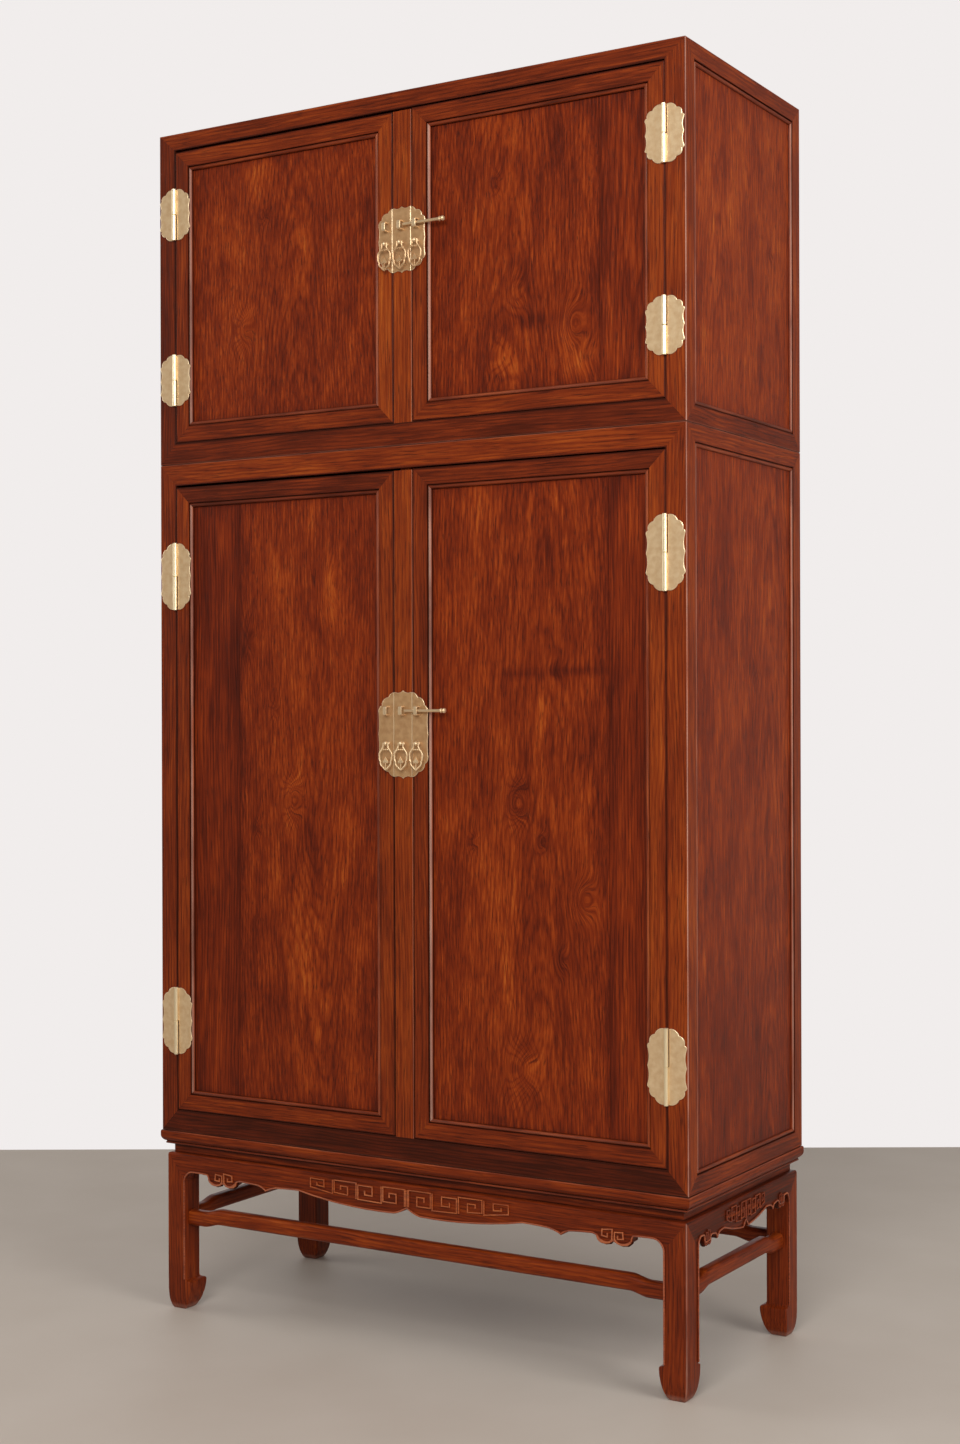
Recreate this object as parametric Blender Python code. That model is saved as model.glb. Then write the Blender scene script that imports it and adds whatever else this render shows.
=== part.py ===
"""Compound wardrobe: a hoof-footed stand, a tall lower cabinet and a short upper cabinet on top.

Metres, +Z up. The front faces -Y and the origin is on the floor under the middle of the object.
"""

import math

import bmesh
import bpy
from mathutils import Matrix, Vector

# Overall sizes
WIDTH = 1.190
DEPTH = 0.514
STAND_HEIGHT = 0.366
LOWER_HEIGHT = 1.360
UPPER_HEIGHT = 0.674
CLEARANCE = 0.0003

# Stand
TOP_FRAME_HEIGHT = 0.030
TOP_FRAME_OVERHANG = 0.0025
TOP_FRAME_MEMBER = 0.070
TOP_FRAME_UNDERCUT = 0.016
# Moulding under the upper band, as (share of the undercut, share of the height)
TOP_FRAME_SHARES = ((0.0, 0.42), (0.15, 0.55), (0.50, 0.70), (0.62, 0.86), (1.0, 1.0))
WAIST_HEIGHT = 0.012
WAIST_INSET = 0.018
WAIST_THICKNESS = 0.010
LEG_SIDE = 0.046
LEG_INSET = 0.0075
LEG_ROUNDING = 0.003
HOOF_HEIGHT = 0.062
HOOF_FLARE = 0.013
HOOF_TUCK = 0.011
# Profile of the hoof, as (share of its height, share of the tuck outside, share of the flare inside)
HOOF_SHARES = ((0.0, 1.0, -0.35), (0.13, 0.62, 0.30), (0.40, 0.18, 0.80), (0.72, 0.0, 1.0),
               (0.92, 0.0, 0.85), (1.0, 0.0, 0.10), (1.45, 0.0, 0.0))
APRON_THICKNESS = 0.020
APRON_SETBACK = 0.001
STRETCHER_HEIGHT = 0.030
STRETCHER_DEPTH = 0.026
STRETCHER_LEVEL = 0.187
STRETCHER_HUMP = 0.008
STRETCHER_SHOULDER = 0.036
STRETCHER_STEP = 0.040
STRETCHER_ROUNDING = 0.005

# Lower edge of an apron from the leg to the middle, as (share of the half length, share of the depth,
# outward bulge of the stretch that leads there as a share of the depth)
APRON_DEPTH = 0.060
APRON_END_SHARE = 0.933
APRON_EDGE_SHARES = (
    (0.966, 0.617, -0.087),
    (0.921, 0.627, -0.008),
    (0.899, 0.842, -0.025),
    (0.838, 0.858, 0.067),
    (0.775, 0.758, 0.100),
    (0.685, 0.700, -0.033),
    (0.632, 0.890, -0.020),
    (0.520, 0.710, -0.033),
    (0.420, 0.797, 0.000),
    (0.063, 0.987, 0.100),
    (0.000, 0.800, 0.058),
)

# Cabinet carcasses
POST_WIDTH = 0.041
POST_DEPTH = 0.044
SIDE_RAIL = 0.041
RAIL_DEPTH = 0.044
LOWER_TOP_RAIL = 0.043
LOWER_BOTTOM_RAIL = 0.044
UPPER_TOP_RAIL = 0.034
UPPER_BOTTOM_RAIL = 0.043
BOARD = 0.014
TOP_RECESS = 0.003
BACK_RECESS = 0.006
SIDE_PANEL = 0.010
SIDE_PANEL_RECESS = 0.005
PANEL_TONGUE = 0.007
BEAD_WIDTH = 0.006
BEAD_DEPTH = 0.0025
# Quirk and crown of the bead round a door panel, as (share of the width, share of the depth)
BEAD_SHARES = ((0.15, 0.6), (0.55, 0.4), (0.9, 1.0))
SHELF_LEVEL = 1.010
SHELF_THICKNESS = 0.018
SHELF_SETBACK = 0.045

# Doors and the removable stile between them
DOOR_MEMBER = 0.041
DOOR_THICKNESS = 0.028
DOOR_PANEL = 0.008
DOOR_PANEL_RECESS = 0.007
DOOR_HINGE_GAP = 0.0006
DOOR_FREE_GAP = 0.0016
DOOR_TOP_GAP = 0.0045
DOOR_BOTTOM_GAP = 0.001
STILE_WIDTH = 0.041
STILE_THICKNESS = 0.030
STILE_LIFT = 0.004
TENON_WIDTH = 0.024
TENON_THICKNESS = 0.010
TENON_LOW = 0.0035
TENON_HIGH = 0.008

# Brass
LEAF = 0.0016
BARREL_RADIUS = 0.0042
BARREL_STANDOFF = 0.0004
BARREL_END = 0.0015
HINGE_PIN_RADIUS = 0.002
KNUCKLE_CLEARANCE = 0.0004
HINGE_HALF_WIDTH = 0.0385
# Lobes of a leaf from the barrel to the middle of its side, as (share of the half width, share of the
# half height, bulge as a share of the half width)
LEAF_SHARES = ((0.62, 0.84, 0.088), (0.895, 0.60, 0.095), (0.99, 0.48, 0.040), (1.0, 0.0, -0.050))
UPPER_HINGE_HEIGHT = 0.102
LOWER_HINGE_HEIGHT = 0.134
UPPER_HINGE_OFFSET = 0.127
LOWER_HINGE_OFFSET = 0.181
UPPER_PLATE_HEIGHT = 0.126
UPPER_PLATE_WIDTH = 0.107
LOWER_PLATE_HEIGHT = 0.168
LOWER_PLATE_WIDTH = 0.114
UPPER_PLATE_LEVEL = 2.116
LOWER_PLATE_LEVEL = 1.176
# Edge of a lock plate from its upper point to the point at its side, as (share of the half width, share
# of the half height, bulge as a share of the half width)
PLATE_SHARES = ((0.23, 0.945, -0.020), (0.586, 0.845, 0.070), (0.851, 0.665, 0.070), (0.985, 0.50, 0.040),
                (0.985, 0.018, -0.012), (1.0, 0.0, 0.0))
FITTING_SPACING = 0.0345
UPPER_LOOP_RISE = 0.027
LOWER_LOOP_RISE = 0.045
LOOP_WIDTH = 0.006
LOOP_HEIGHT = 0.018
LOOP_PROUD = 0.012
LOOP_STRAP = 0.0024
LOOP_ROUNDING = 0.004
UPPER_EYE_DROP = 0.006
LOWER_EYE_DROP = 0.017
EYE_RADIUS = 0.0045
EYE_HALF_WIDTH = 0.0032
EYE_PROUD = 0.008
EYE_NECK_RADIUS = 0.0024
PULL_PIN_RADIUS = 0.0016
PULL_THICKNESS = 0.0036
PULL_ARM = 0.0024
PULL_CROWN = 0.001
PULL_YOKE = 0.0056
# Right half of a pull below its arms and of the hole in it, down from the pin, as (x, z, bulge); the
# hole leaves the bud standing in the middle
PULL_RING = ((0.0090, -0.0115, -0.0006), (0.0100, -0.0140, 0.0008), (0.0156, -0.0270, 0.0022),
             (0.0100, -0.0420, 0.0026), (0.0, -0.0520, 0.0010))
PULL_ARM_END = 0.0070
PULL_HOLE_TOP = 0.0110
PULL_HOLE = ((0.0040, -0.0105, 0.0008), (0.0068, -0.0150, 0.0006), (0.0122, -0.0270, 0.0018),
             (0.0080, -0.0385, 0.0018), (0.0026, -0.0440, 0.0005), (0.0020, -0.0400, -0.0004),
             (0.0050, -0.0350, -0.0010), (0.0, -0.0250, -0.0012))
LOCK_PIN_RADIUS = 0.0029
LOCK_PIN_KNOB = 0.0050
LOCK_PIN_END = 0.004
LOCK_PIN_PARK = 0.003
LOCK_PIN_POINT_SHARE = 0.6
LOCK_KNOB_LENGTH = 0.011
# Profile of the pin's knob, as (share of its radius, share of its length)
LOCK_KNOB_SHARES = ((1.0, 0.0), (1.0, 0.14), (0.6, 0.27), (1.0, 0.73), (0.7, 0.95), (0.0, 1.0))

# Places worked out from the sizes above
FITTING_PROUD = CLEARANCE + LEAF + max(LOOP_PROUD, EYE_PROUD + EYE_RADIUS)
FRONT = (FITTING_PROUD - TOP_FRAME_OVERHANG - DEPTH) / 2
BACK = FRONT + DEPTH
MIDDLE = (FRONT + BACK) / 2
LOWER_TOP = STAND_HEIGHT + LOWER_HEIGHT
UPPER_TOP = LOWER_TOP + UPPER_HEIGHT
APRON_TOP = STAND_HEIGHT - CLEARANCE - TOP_FRAME_HEIGHT - WAIST_HEIGHT
HINGE_X = WIDTH / 2 - POST_WIDTH
HINGE_Y = FRONT - BARREL_RADIUS - BARREL_STANDOFF
PLATE_FACE = FRONT - CLEARANCE - LEAF
DOOR_FREE_X = STILE_WIDTH / 2 + DOOR_FREE_GAP
DOOR_EDGE_X = HINGE_X - DOOR_HINGE_GAP

ARC_STEPS = 3
ROUND_STEPS = 12
SMALL_ROUND_STEPS = 8
BALL_RINGS = 6
OVERSHOOT = 0.01
SEAT = 0.0008

WOOD = {"color": (0.19, 0.035, 0.010, 1.0), "roughness": 0.32, "metallic": 0.0}
BRASS = {"color": (0.56, 0.38, 0.17, 1.0), "roughness": 0.38, "metallic": 1.0}
SIDES = (("left", -1), ("right", 1))


def empty_scene():
    """Remove every object, and make the collection that holds the pieces."""
    for item in list(bpy.data.objects):
        bpy.data.objects.remove(item, do_unlink=True)
    pieces = bpy.data.collections.new("compound_wardrobe")
    bpy.context.scene.collection.children.link(pieces)
    return pieces


PIECES = empty_scene()


def new_object(name, solid):
    """Turn a bmesh into an object of the collection."""
    mesh = bpy.data.meshes.new(name)
    solid.to_mesh(mesh)
    solid.free()
    item = bpy.data.objects.new(name, mesh)
    PIECES.objects.link(item)
    return item


def pivot(name, place, parent=None):
    """An empty on a joint's axis, which carries the pieces of one body."""
    item = bpy.data.objects.new(name, None)
    item.empty_display_size = 0.03
    PIECES.objects.link(item)
    item.parent = parent
    item.location = Vector(place) - (world_place(parent) if parent else Vector())
    return item


def world_place(item):
    """Where an unturned pivot stands, through its parents."""
    place = Vector()
    while item:
        place += item.location
        item = item.parent
    return place


def piece(name, solid, finish, parent):
    """Name a finished solid, hang it on its pivot and give it its own material."""
    place = world_place(parent)
    bmesh.ops.translate(solid, verts=solid.verts, vec=-place)
    bmesh.ops.recalc_face_normals(solid, faces=solid.faces)
    item = new_object(name, solid)
    item.parent = parent
    material = bpy.data.materials.new(name)
    material.use_nodes = True
    shader = material.node_tree.nodes["Principled BSDF"]
    shader.inputs["Base Color"].default_value = finish["color"]
    shader.inputs["Roughness"].default_value = finish["roughness"]
    shader.inputs["Metallic"].default_value = finish["metallic"]
    material.diffuse_color = finish["color"]
    item.data.materials.append(material)
    item.data.shade_smooth()
    item.data.set_sharp_from_angle(angle=math.radians(35))
    return item


def box(x, y, z):
    """A block between pairs of limits."""
    solid = bmesh.new()
    size = Vector((x[1] - x[0], y[1] - y[0], z[1] - z[0]))
    middle = Vector((x[0] + x[1], y[0] + y[1], z[0] + z[1])) / 2
    bmesh.ops.create_cube(solid, size=1.0)
    place = Matrix.Translation(middle) @ Matrix.Diagonal(size.to_4d())
    bmesh.ops.transform(solid, matrix=place, verts=solid.verts)
    return solid


def combine(operation, base, others):
    """Join solids to a base, or cut them out of it, and return the result."""
    target = new_object("target", base)
    tools = [new_object("tool", other) for other in others]
    for tool in tools:
        change = target.modifiers.new("change", "BOOLEAN")
        change.operation = operation
        change.object = tool
    evaluated = target.evaluated_get(bpy.context.evaluated_depsgraph_get())
    mesh = bpy.data.meshes.new_from_object(evaluated)
    result = bmesh.new()
    result.from_mesh(mesh)
    for item in [target, *tools]:
        bpy.data.objects.remove(item, do_unlink=True)
    bpy.data.meshes.remove(mesh)
    return result


def stretch_points(start, end, bulge):
    """Points after start up to end, on an arc whose middle stands out to the left by the bulge."""
    if bulge == 0:
        return [end]
    chord = end - start
    half = chord.length / 2
    left = Vector((-chord.y, chord.x)).normalized()
    radius = (half ** 2 + bulge ** 2) / (2 * bulge)
    centre = (start + end) / 2 + left * (bulge - radius)
    sweep = -4 * math.atan(bulge / half)
    points = []
    for step in range(1, ARC_STEPS):
        points.append(centre + Matrix.Rotation(sweep * step / ARC_STEPS, 2) @ (start - centre))
    return points + [end]


def outline(start, stretches):
    """Points of an outline given as a start and stretches of (x, y, bulge)."""
    points = [Vector(start)]
    for x, y, bulge in stretches:
        points += stretch_points(points[-1], Vector((x, y)), bulge)
    return points


def mirrored(half):
    """A whole outline from its right half, which starts and ends on the middle line."""
    return half + [Vector((-point.x, point.y)) for point in reversed(half[1:-1])]


def slab(loops, thickness, rounding=0.0):
    """A flat plate from closed outlines; later outlines are holes. It lies on XY, centred in Z."""
    curve = bpy.data.curves.new("outline", "CURVE")
    curve.dimensions = "2D"
    curve.fill_mode = "BOTH"
    curve.extrude = thickness / 2 - rounding
    curve.bevel_depth = rounding
    curve.offset = -rounding
    curve.bevel_resolution = 0
    for loop in loops:
        spline = curve.splines.new("POLY")
        spline.points.add(len(loop) - 1)
        for target, point in zip(spline.points, loop):
            target.co = (point.x, point.y, 0.0, 1.0)
        spline.use_cyclic_u = True
    holder = bpy.data.objects.new("outline", curve)
    PIECES.objects.link(holder)
    mesh = bpy.data.meshes.new_from_object(holder.evaluated_get(bpy.context.evaluated_depsgraph_get()))
    solid = bmesh.new()
    solid.from_mesh(mesh)
    bpy.data.objects.remove(holder, do_unlink=True)
    bpy.data.meshes.remove(mesh)
    bmesh.ops.remove_doubles(solid, verts=solid.verts, dist=0.00001)
    bmesh.ops.recalc_face_normals(solid, faces=solid.faces)
    return solid


def moved(solid, *steps):
    """Apply transforms in the order that they are given."""
    for step in steps:
        bmesh.ops.transform(solid, matrix=step, verts=solid.verts)
    bmesh.ops.recalc_face_normals(solid, faces=solid.faces)
    return solid


def shift(x=0.0, y=0.0, z=0.0):
    """A move."""
    return Matrix.Translation((x, y, z))


STAND_UP = Matrix.Rotation(math.radians(90), 4, "X")
HALF_TURN = Matrix.Rotation(math.pi, 4, "Y")
Z_TO_X = Matrix.Rotation(math.radians(90), 4, "Y")
Z_TO_Y = Matrix.Rotation(math.radians(-90), 4, "X")


def turned(profile, closed=False, steps=ROUND_STEPS):
    """A turned solid about Z, from (radius, height) points; closed for a ring."""
    solid = bmesh.new()
    dots = [solid.verts.new((radius, 0.0, height)) for radius, height in profile]
    pairs = list(zip(dots, dots[1:])) + ([(dots[-1], dots[0])] if closed else [])
    edges = [solid.edges.new(pair) for pair in pairs]
    bmesh.ops.spin(solid, geom=dots + edges, axis=(0, 0, 1), cent=(0, 0, 0), angle=math.tau, steps=steps,
                   use_merge=True)
    bmesh.ops.remove_doubles(solid, verts=solid.verts, dist=0.00001)
    bmesh.ops.recalc_face_normals(solid, faces=solid.faces)
    return solid


def loft(rectangles, ring=False):
    """A solid through rectangles (x limits, y limits, z), either capped or closed into a ring."""
    solid = bmesh.new()
    loops = []
    for x, y, z in rectangles:
        corners = ((x[0], y[0], z), (x[1], y[0], z), (x[1], y[1], z), (x[0], y[1], z))
        loops.append([solid.verts.new(corner) for corner in corners])
    for one, other in zip(loops, loops[1:] + loops[:1] if ring else loops[1:]):
        for side in range(4):
            solid.faces.new((one[side - 1], one[side], other[side], other[side - 1]))
    if not ring:
        for loop in (loops[0], loops[-1]):
            solid.faces.new(loop)
    bmesh.ops.recalc_face_normals(solid, faces=solid.faces)
    return solid


def swept_frame(half_width, half_height, profile):
    """A mitred frame on XY: its section is given as (inset from the outer edge, height)."""
    rectangles = []
    for inset, height in profile:
        across, along = half_width - inset, half_height - inset
        rectangles.append(((-across, across), (-along, along), height))
    return loft(rectangles, ring=True)


# The stand

def stand_top_frame(root):
    """The moulded frame that carries the cabinets: it bulges and then tucks in to the waist."""
    top = STAND_HEIGHT - CLEARANCE
    lip = TOP_FRAME_OVERHANG
    height = TOP_FRAME_HEIGHT
    profile = [(TOP_FRAME_MEMBER, -height), (TOP_FRAME_MEMBER, 0.0), (lip / 2, 0.0), (0.0, -lip)]
    profile += [(inset * TOP_FRAME_UNDERCUT, -drop * height) for inset, drop in TOP_FRAME_SHARES]
    frame = swept_frame(WIDTH / 2 + lip, DEPTH / 2 + lip, profile)
    piece("stand_top_frame", moved(frame, shift(y=MIDDLE, z=top)), WOOD, root)


def leg(root, name, right, back):
    """A square leg whose foot turns inward as a hoof, with a stub that stands in the waist."""
    stub = WAIST_INSET - LEG_INSET
    sections = [(rise * HOOF_HEIGHT, tuck * HOOF_TUCK, flare * HOOF_FLARE)
                for rise, tuck, flare in HOOF_SHARES]
    sections += [(APRON_TOP - LEG_ROUNDING, 0.0, 0.0), (APRON_TOP, LEG_ROUNDING, 0.0)]
    rectangles = [((outer, LEG_SIDE + inner), (outer, LEG_SIDE + inner), z) for z, outer, inner in sections]
    solid = loft(rectangles)
    upright = [edge for edge in solid.edges
               if abs(edge.verts[0].co.z - edge.verts[1].co.z) > LEG_ROUNDING and len(edge.link_faces) == 2]
    bmesh.ops.bevel(solid, geom=upright, offset=LEG_ROUNDING, segments=1, profile=0.5, affect="EDGES",
                    material=-1)
    waist_post = box((stub, LEG_SIDE), (stub, LEG_SIDE),
                     (APRON_TOP - SEAT, APRON_TOP + WAIST_HEIGHT - CLEARANCE))
    solid = combine("UNION", solid, [waist_post])
    corner = shift(x=LEG_INSET - WIDTH / 2, y=LEG_INSET - DEPTH / 2)
    turn = Matrix.Diagonal((-1 if right else 1, -1 if back else 1, 1, 1))
    piece(name, moved(solid, corner, turn, shift(y=MIDDLE)), WOOD, root)


def apron_solid(half, squeeze):
    """A scalloped apron with the waist strip over it, on XZ; its front face is at y = 0."""
    deep = APRON_DEPTH
    edge = [(half, 0.0, 0.0), (half, -APRON_END_SHARE * deep, 0.0)]
    edge += [(share * half, -drop * deep, bulge * deep * squeeze) for share, drop, bulge in APRON_EDGE_SHARES]
    plate = slab([mirrored(outline((0.0, 0.0), edge))], APRON_THICKNESS)
    plate = moved(plate, STAND_UP, shift(y=APRON_THICKNESS / 2, z=APRON_TOP))
    setback = WAIST_INSET - LEG_INSET - APRON_SETBACK
    strip = box((-half, half), (setback, setback + WAIST_THICKNESS),
                (APRON_TOP - SEAT, APRON_TOP + WAIST_HEIGHT - CLEARANCE))
    return combine("UNION", plate, [strip])


def stretcher_solid(half):
    """A humpback stretcher on XZ, centred on y = 0."""
    low = -STRETCHER_HEIGHT / 2
    high = STRETCHER_HEIGHT / 2
    shoulder = half - STRETCHER_SHOULDER
    crest = shoulder - STRETCHER_STEP
    middle_x = (shoulder + crest) / 2
    bulge = STRETCHER_HUMP / 4
    upper = [(crest, high + STRETCHER_HUMP, 0.0), (middle_x, high + STRETCHER_HUMP / 2, bulge),
             (shoulder, high, -bulge), (half, high, 0.0)]
    lower = [(half, low, 0.0), (shoulder, low, 0.0), (middle_x, low + STRETCHER_HUMP / 2, bulge),
             (crest, low + STRETCHER_HUMP, -bulge), (0.0, low + STRETCHER_HUMP, 0.0)]
    shape = mirrored(outline((0.0, high + STRETCHER_HUMP), upper + lower))
    return moved(slab([shape], STRETCHER_DEPTH, STRETCHER_ROUNDING), STAND_UP, shift(z=STRETCHER_LEVEL))


def stand(root):
    """The stand: its frame, four legs, four aprons and four stretchers."""
    stand_top_frame(root)
    for side, sign in SIDES:
        for end, back in (("front", False), ("back", True)):
            leg(root, f"leg_{end}_{side}", sign > 0, back)
    half_wide = WIDTH / 2 - LEG_INSET - LEG_SIDE - CLEARANCE
    half_deep = DEPTH / 2 - LEG_INSET - LEG_SIDE - CLEARANCE
    squeeze = half_deep / half_wide
    apron_out = LEG_INSET + APRON_SETBACK
    bar_out = LEG_INSET + LEG_SIDE / 2
    for name, turn, half, reach, bulge in (("front", 0, half_wide, DEPTH / 2, 1.0),
                                           ("right", 90, half_deep, WIDTH / 2, squeeze),
                                           ("back", 180, half_wide, DEPTH / 2, 1.0),
                                           ("left", 270, half_deep, WIDTH / 2, squeeze)):
        place = (Matrix.Rotation(math.radians(turn), 4, "Z"), shift(y=MIDDLE))
        apron = moved(apron_solid(half, bulge), shift(y=apron_out - reach), *place)
        stretcher = moved(stretcher_solid(half), shift(y=bar_out - reach), *place)
        piece(f"apron_{name}", apron, WOOD, root)
        piece(f"stretcher_{name}", stretcher, WOOD, root)


# The cabinets

def side_window(sign, low, high, spread, from_out, to_out):
    """A cut in a cabinet's side, between two distances from its outer face."""
    limits = sorted(sign * (WIDTH / 2 - out) for out in (from_out, to_out))
    return box(limits, (FRONT + POST_DEPTH - spread, BACK - POST_DEPTH + spread),
               (low - spread, high + spread))


def carcass(root, name, low, high, top_rail, bottom_rail):
    """Posts, rails, top, floor and back of one cabinet, open at the front and at the two side panels."""
    inner = WIDTH / 2 - POST_WIDTH
    across = (-inner, inner)
    opening = (low + bottom_rail, high - top_rail)
    back_face = BACK - BACK_RECESS - BOARD
    windows = (low + SIDE_RAIL, high - SIDE_RAIL)
    groove_in = SIDE_PANEL_RECESS - CLEARANCE
    groove_out = SIDE_PANEL_RECESS + SIDE_PANEL + CLEARANCE
    rails = (FRONT + RAIL_DEPTH, BACK - RAIL_DEPTH)
    tenon = STILE_THICKNESS / 2 + FRONT
    slot = ((-TENON_WIDTH / 2 - CLEARANCE, TENON_WIDTH / 2 + CLEARANCE),
            (tenon - TENON_THICKNESS / 2 - CLEARANCE, tenon + TENON_THICKNESS / 2 + CLEARANCE))
    cuts = [
        box(across, (FRONT - OVERSHOOT, back_face), opening),
        box(across, rails, (opening[1] - OVERSHOOT, high - TOP_RECESS - BOARD)),
        box(across, rails, (low - OVERSHOOT, opening[0] - BOARD)),
        box(across, rails, (high - TOP_RECESS, high + OVERSHOOT)),
        box(across, (BACK - BACK_RECESS, BACK + OVERSHOOT), windows),
        box(*slot, (opening[0] - TENON_LOW - CLEARANCE, opening[0] + OVERSHOOT)),
        box(*slot, (opening[1] - OVERSHOOT, opening[1] + TENON_HIGH + STILE_LIFT + CLEARANCE)),
    ]
    for sign in (-1, 1):
        cuts.append(side_window(sign, *windows, 0.0, -OVERSHOOT, POST_WIDTH + OVERSHOOT))
        cuts.append(side_window(sign, *windows, PANEL_TONGUE, groove_in, groove_out))
        cuts.append(side_window(sign, *windows, BEAD_WIDTH, -OVERSHOOT, BEAD_DEPTH))
    block = box((-WIDTH / 2, WIDTH / 2), (FRONT, BACK), (low, high))
    piece(f"{name}_frame", combine("DIFFERENCE", block, cuts), WOOD, root)
    for side, sign in SIDES:
        panel = side_window(sign, *windows, PANEL_TONGUE - CLEARANCE, groove_in + CLEARANCE,
                            groove_out - CLEARANCE)
        piece(f"{name}_side_panel_{side}", panel, WOOD, root)


def shelf(root):
    """A board between the posts, behind the lower doors."""
    across = WIDTH / 2 - POST_WIDTH - CLEARANCE
    back_face = BACK - BACK_RECESS - BOARD - CLEARANCE
    board = box((-across, across), (FRONT + SHELF_SETBACK, back_face),
                (SHELF_LEVEL - SHELF_THICKNESS, SHELF_LEVEL))
    piece("lower_shelf", board, WOOD, root)


def door(hung, name, sign, low, high):
    """A mitred frame with an inner bead, and the panel that floats in its groove."""
    half_width = (DOOR_EDGE_X - DOOR_FREE_X) / 2
    half_height = (high - low) / 2
    place = shift(sign * (DOOR_EDGE_X + DOOR_FREE_X) / 2, FRONT, (low + high) / 2)
    bead = DOOR_MEMBER - BEAD_WIDTH
    groove = DOOR_MEMBER - PANEL_TONGUE
    panel_out = -DOOR_PANEL_RECESS + CLEARANCE
    panel_in = -DOOR_PANEL_RECESS - DOOR_PANEL - CLEARANCE
    rounded = [(bead + across * BEAD_WIDTH, -drop * BEAD_DEPTH) for across, drop in BEAD_SHARES]
    profile = [(0.0, 0.0), (bead, 0.0), *rounded, (DOOR_MEMBER, panel_out), (groove, panel_out),
               (groove, panel_in), (DOOR_MEMBER, panel_in), (DOOR_MEMBER, -DOOR_THICKNESS),
               (0.0, -DOOR_THICKNESS)]
    frame = swept_frame(half_width, half_height, profile)
    piece(f"{name}_frame", moved(frame, STAND_UP, place), WOOD, hung)
    tongue = groove + CLEARANCE
    panel = box((tongue - half_width, half_width - tongue),
                (DOOR_PANEL_RECESS, DOOR_PANEL_RECESS + DOOR_PANEL),
                (tongue - half_height, half_height - tongue))
    piece(f"{name}_panel", moved(panel, place), WOOD, hung)


def centre_stile(lifted, name, low, high):
    """The stile between the doors, with a short tenon below and a longer one above to lift it by."""
    middle = FRONT + STILE_THICKNESS / 2
    tenon = ((-TENON_WIDTH / 2, TENON_WIDTH / 2),
             (middle - TENON_THICKNESS / 2, middle + TENON_THICKNESS / 2))
    bottom = low + CLEARANCE
    top = high - DOOR_TOP_GAP
    bar = box((-STILE_WIDTH / 2, STILE_WIDTH / 2), (FRONT, FRONT + STILE_THICKNESS), (bottom, top))
    tenons = [box(*tenon, (low - TENON_LOW, bottom + SEAT)), box(*tenon, (top - SEAT, high + TENON_HIGH))]
    piece(f"{name}_centre_stile", combine("UNION", bar, tenons), WOOD, lifted)


# The brass

def from_shares(start, shares, wide, tall):
    """An outline from a start, with stretches given as shares of a half width and a half height."""
    return outline(start, [(across * wide, up * tall, bulge * wide) for across, up, bulge in shares])


def with_underside(points):
    """The outline of a side from that of its upper half, which ends on the middle line."""
    return points + [Vector((point.x, -point.y)) for point in reversed(points[:-1])]


def hinge_leaf(height):
    """A lobed leaf to the right of the barrel's axis, on XZ, which carries the lower knuckle."""
    top = height / 2
    clear = BARREL_RADIUS + KNUCKLE_CLEARANCE
    shape = with_underside(from_shares((clear, top), LEAF_SHARES, HINGE_HALF_WIDTH, top))
    tab = [(SEAT, -top), (SEAT, -KNUCKLE_CLEARANCE), (clear, -KNUCKLE_CLEARANCE)]
    leaf = slab([shape + [Vector(point) for point in tab]], LEAF)
    return moved(leaf, STAND_UP, shift(y=BARREL_RADIUS + BARREL_STANDOFF - CLEARANCE - LEAF / 2))


def hinge(height):
    """The two halves of a butt hinge on the right: the post's with the pin, and the door's."""
    end = height / 2 + BARREL_END
    part = KNUCKLE_CLEARANCE / 2
    bore = HINGE_PIN_RADIUS + CLEARANCE
    core = turned([(0.0, -end), (BARREL_RADIUS, -end), (BARREL_RADIUS, -part), (HINGE_PIN_RADIUS, -part),
                   (HINGE_PIN_RADIUS, end), (0.0, end)])
    post_half = combine("UNION", hinge_leaf(height), [core])
    hole = turned([(0.0, -OVERSHOOT), (bore, -OVERSHOOT), (bore, end + OVERSHOOT), (0.0, end + OVERSHOOT)])
    knuckle = turned([(0.0, part), (BARREL_RADIUS, part), (BARREL_RADIUS, end), (0.0, end)])
    door_half = combine("UNION", moved(hinge_leaf(height), HALF_TURN), [knuckle])
    return post_half, combine("DIFFERENCE", door_half, [hole])


def hinges(root, hung, name, side, sign, levels, height):
    """Two butt hinges of one door."""
    for end, level in zip(("top", "bottom"), levels):
        mirror = Matrix.Diagonal((sign, 1, 1, 1))
        place = shift(sign * HINGE_X, HINGE_Y, level)
        post_half, door_half = hinge(height)
        piece(f"{name}_hinge_{side}_{end}_post_leaf", moved(post_half, mirror, place), BRASS, root)
        piece(f"{name}_hinge_{side}_{end}_door_leaf", moved(door_half, mirror, place), BRASS, hung)


def lock_plate(width, height, level):
    """The lobed plate on XZ before it is sawn into three sections."""
    upper = from_shares((0.0, height / 2), PLATE_SHARES, width / 2, height / 2)
    shape = mirrored(with_underside(upper))
    return moved(slab([shape], LEAF), STAND_UP, shift(y=PLATE_FACE + LEAF / 2, z=level))


def keep_between(solid, low, high):
    """Saw a solid off at two values of x, and close the sawn faces."""
    for place, normal in ((low, -1), (high, 1)):
        bmesh.ops.bisect_plane(solid, geom=solid.verts[:] + solid.edges[:] + solid.faces[:],
                               plane_co=(place, 0, 0), plane_no=(normal, 0, 0), clear_outer=True)
        bmesh.ops.edgeloop_fill(solid, edges=[edge for edge in solid.edges if edge.is_boundary])
    return solid


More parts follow.
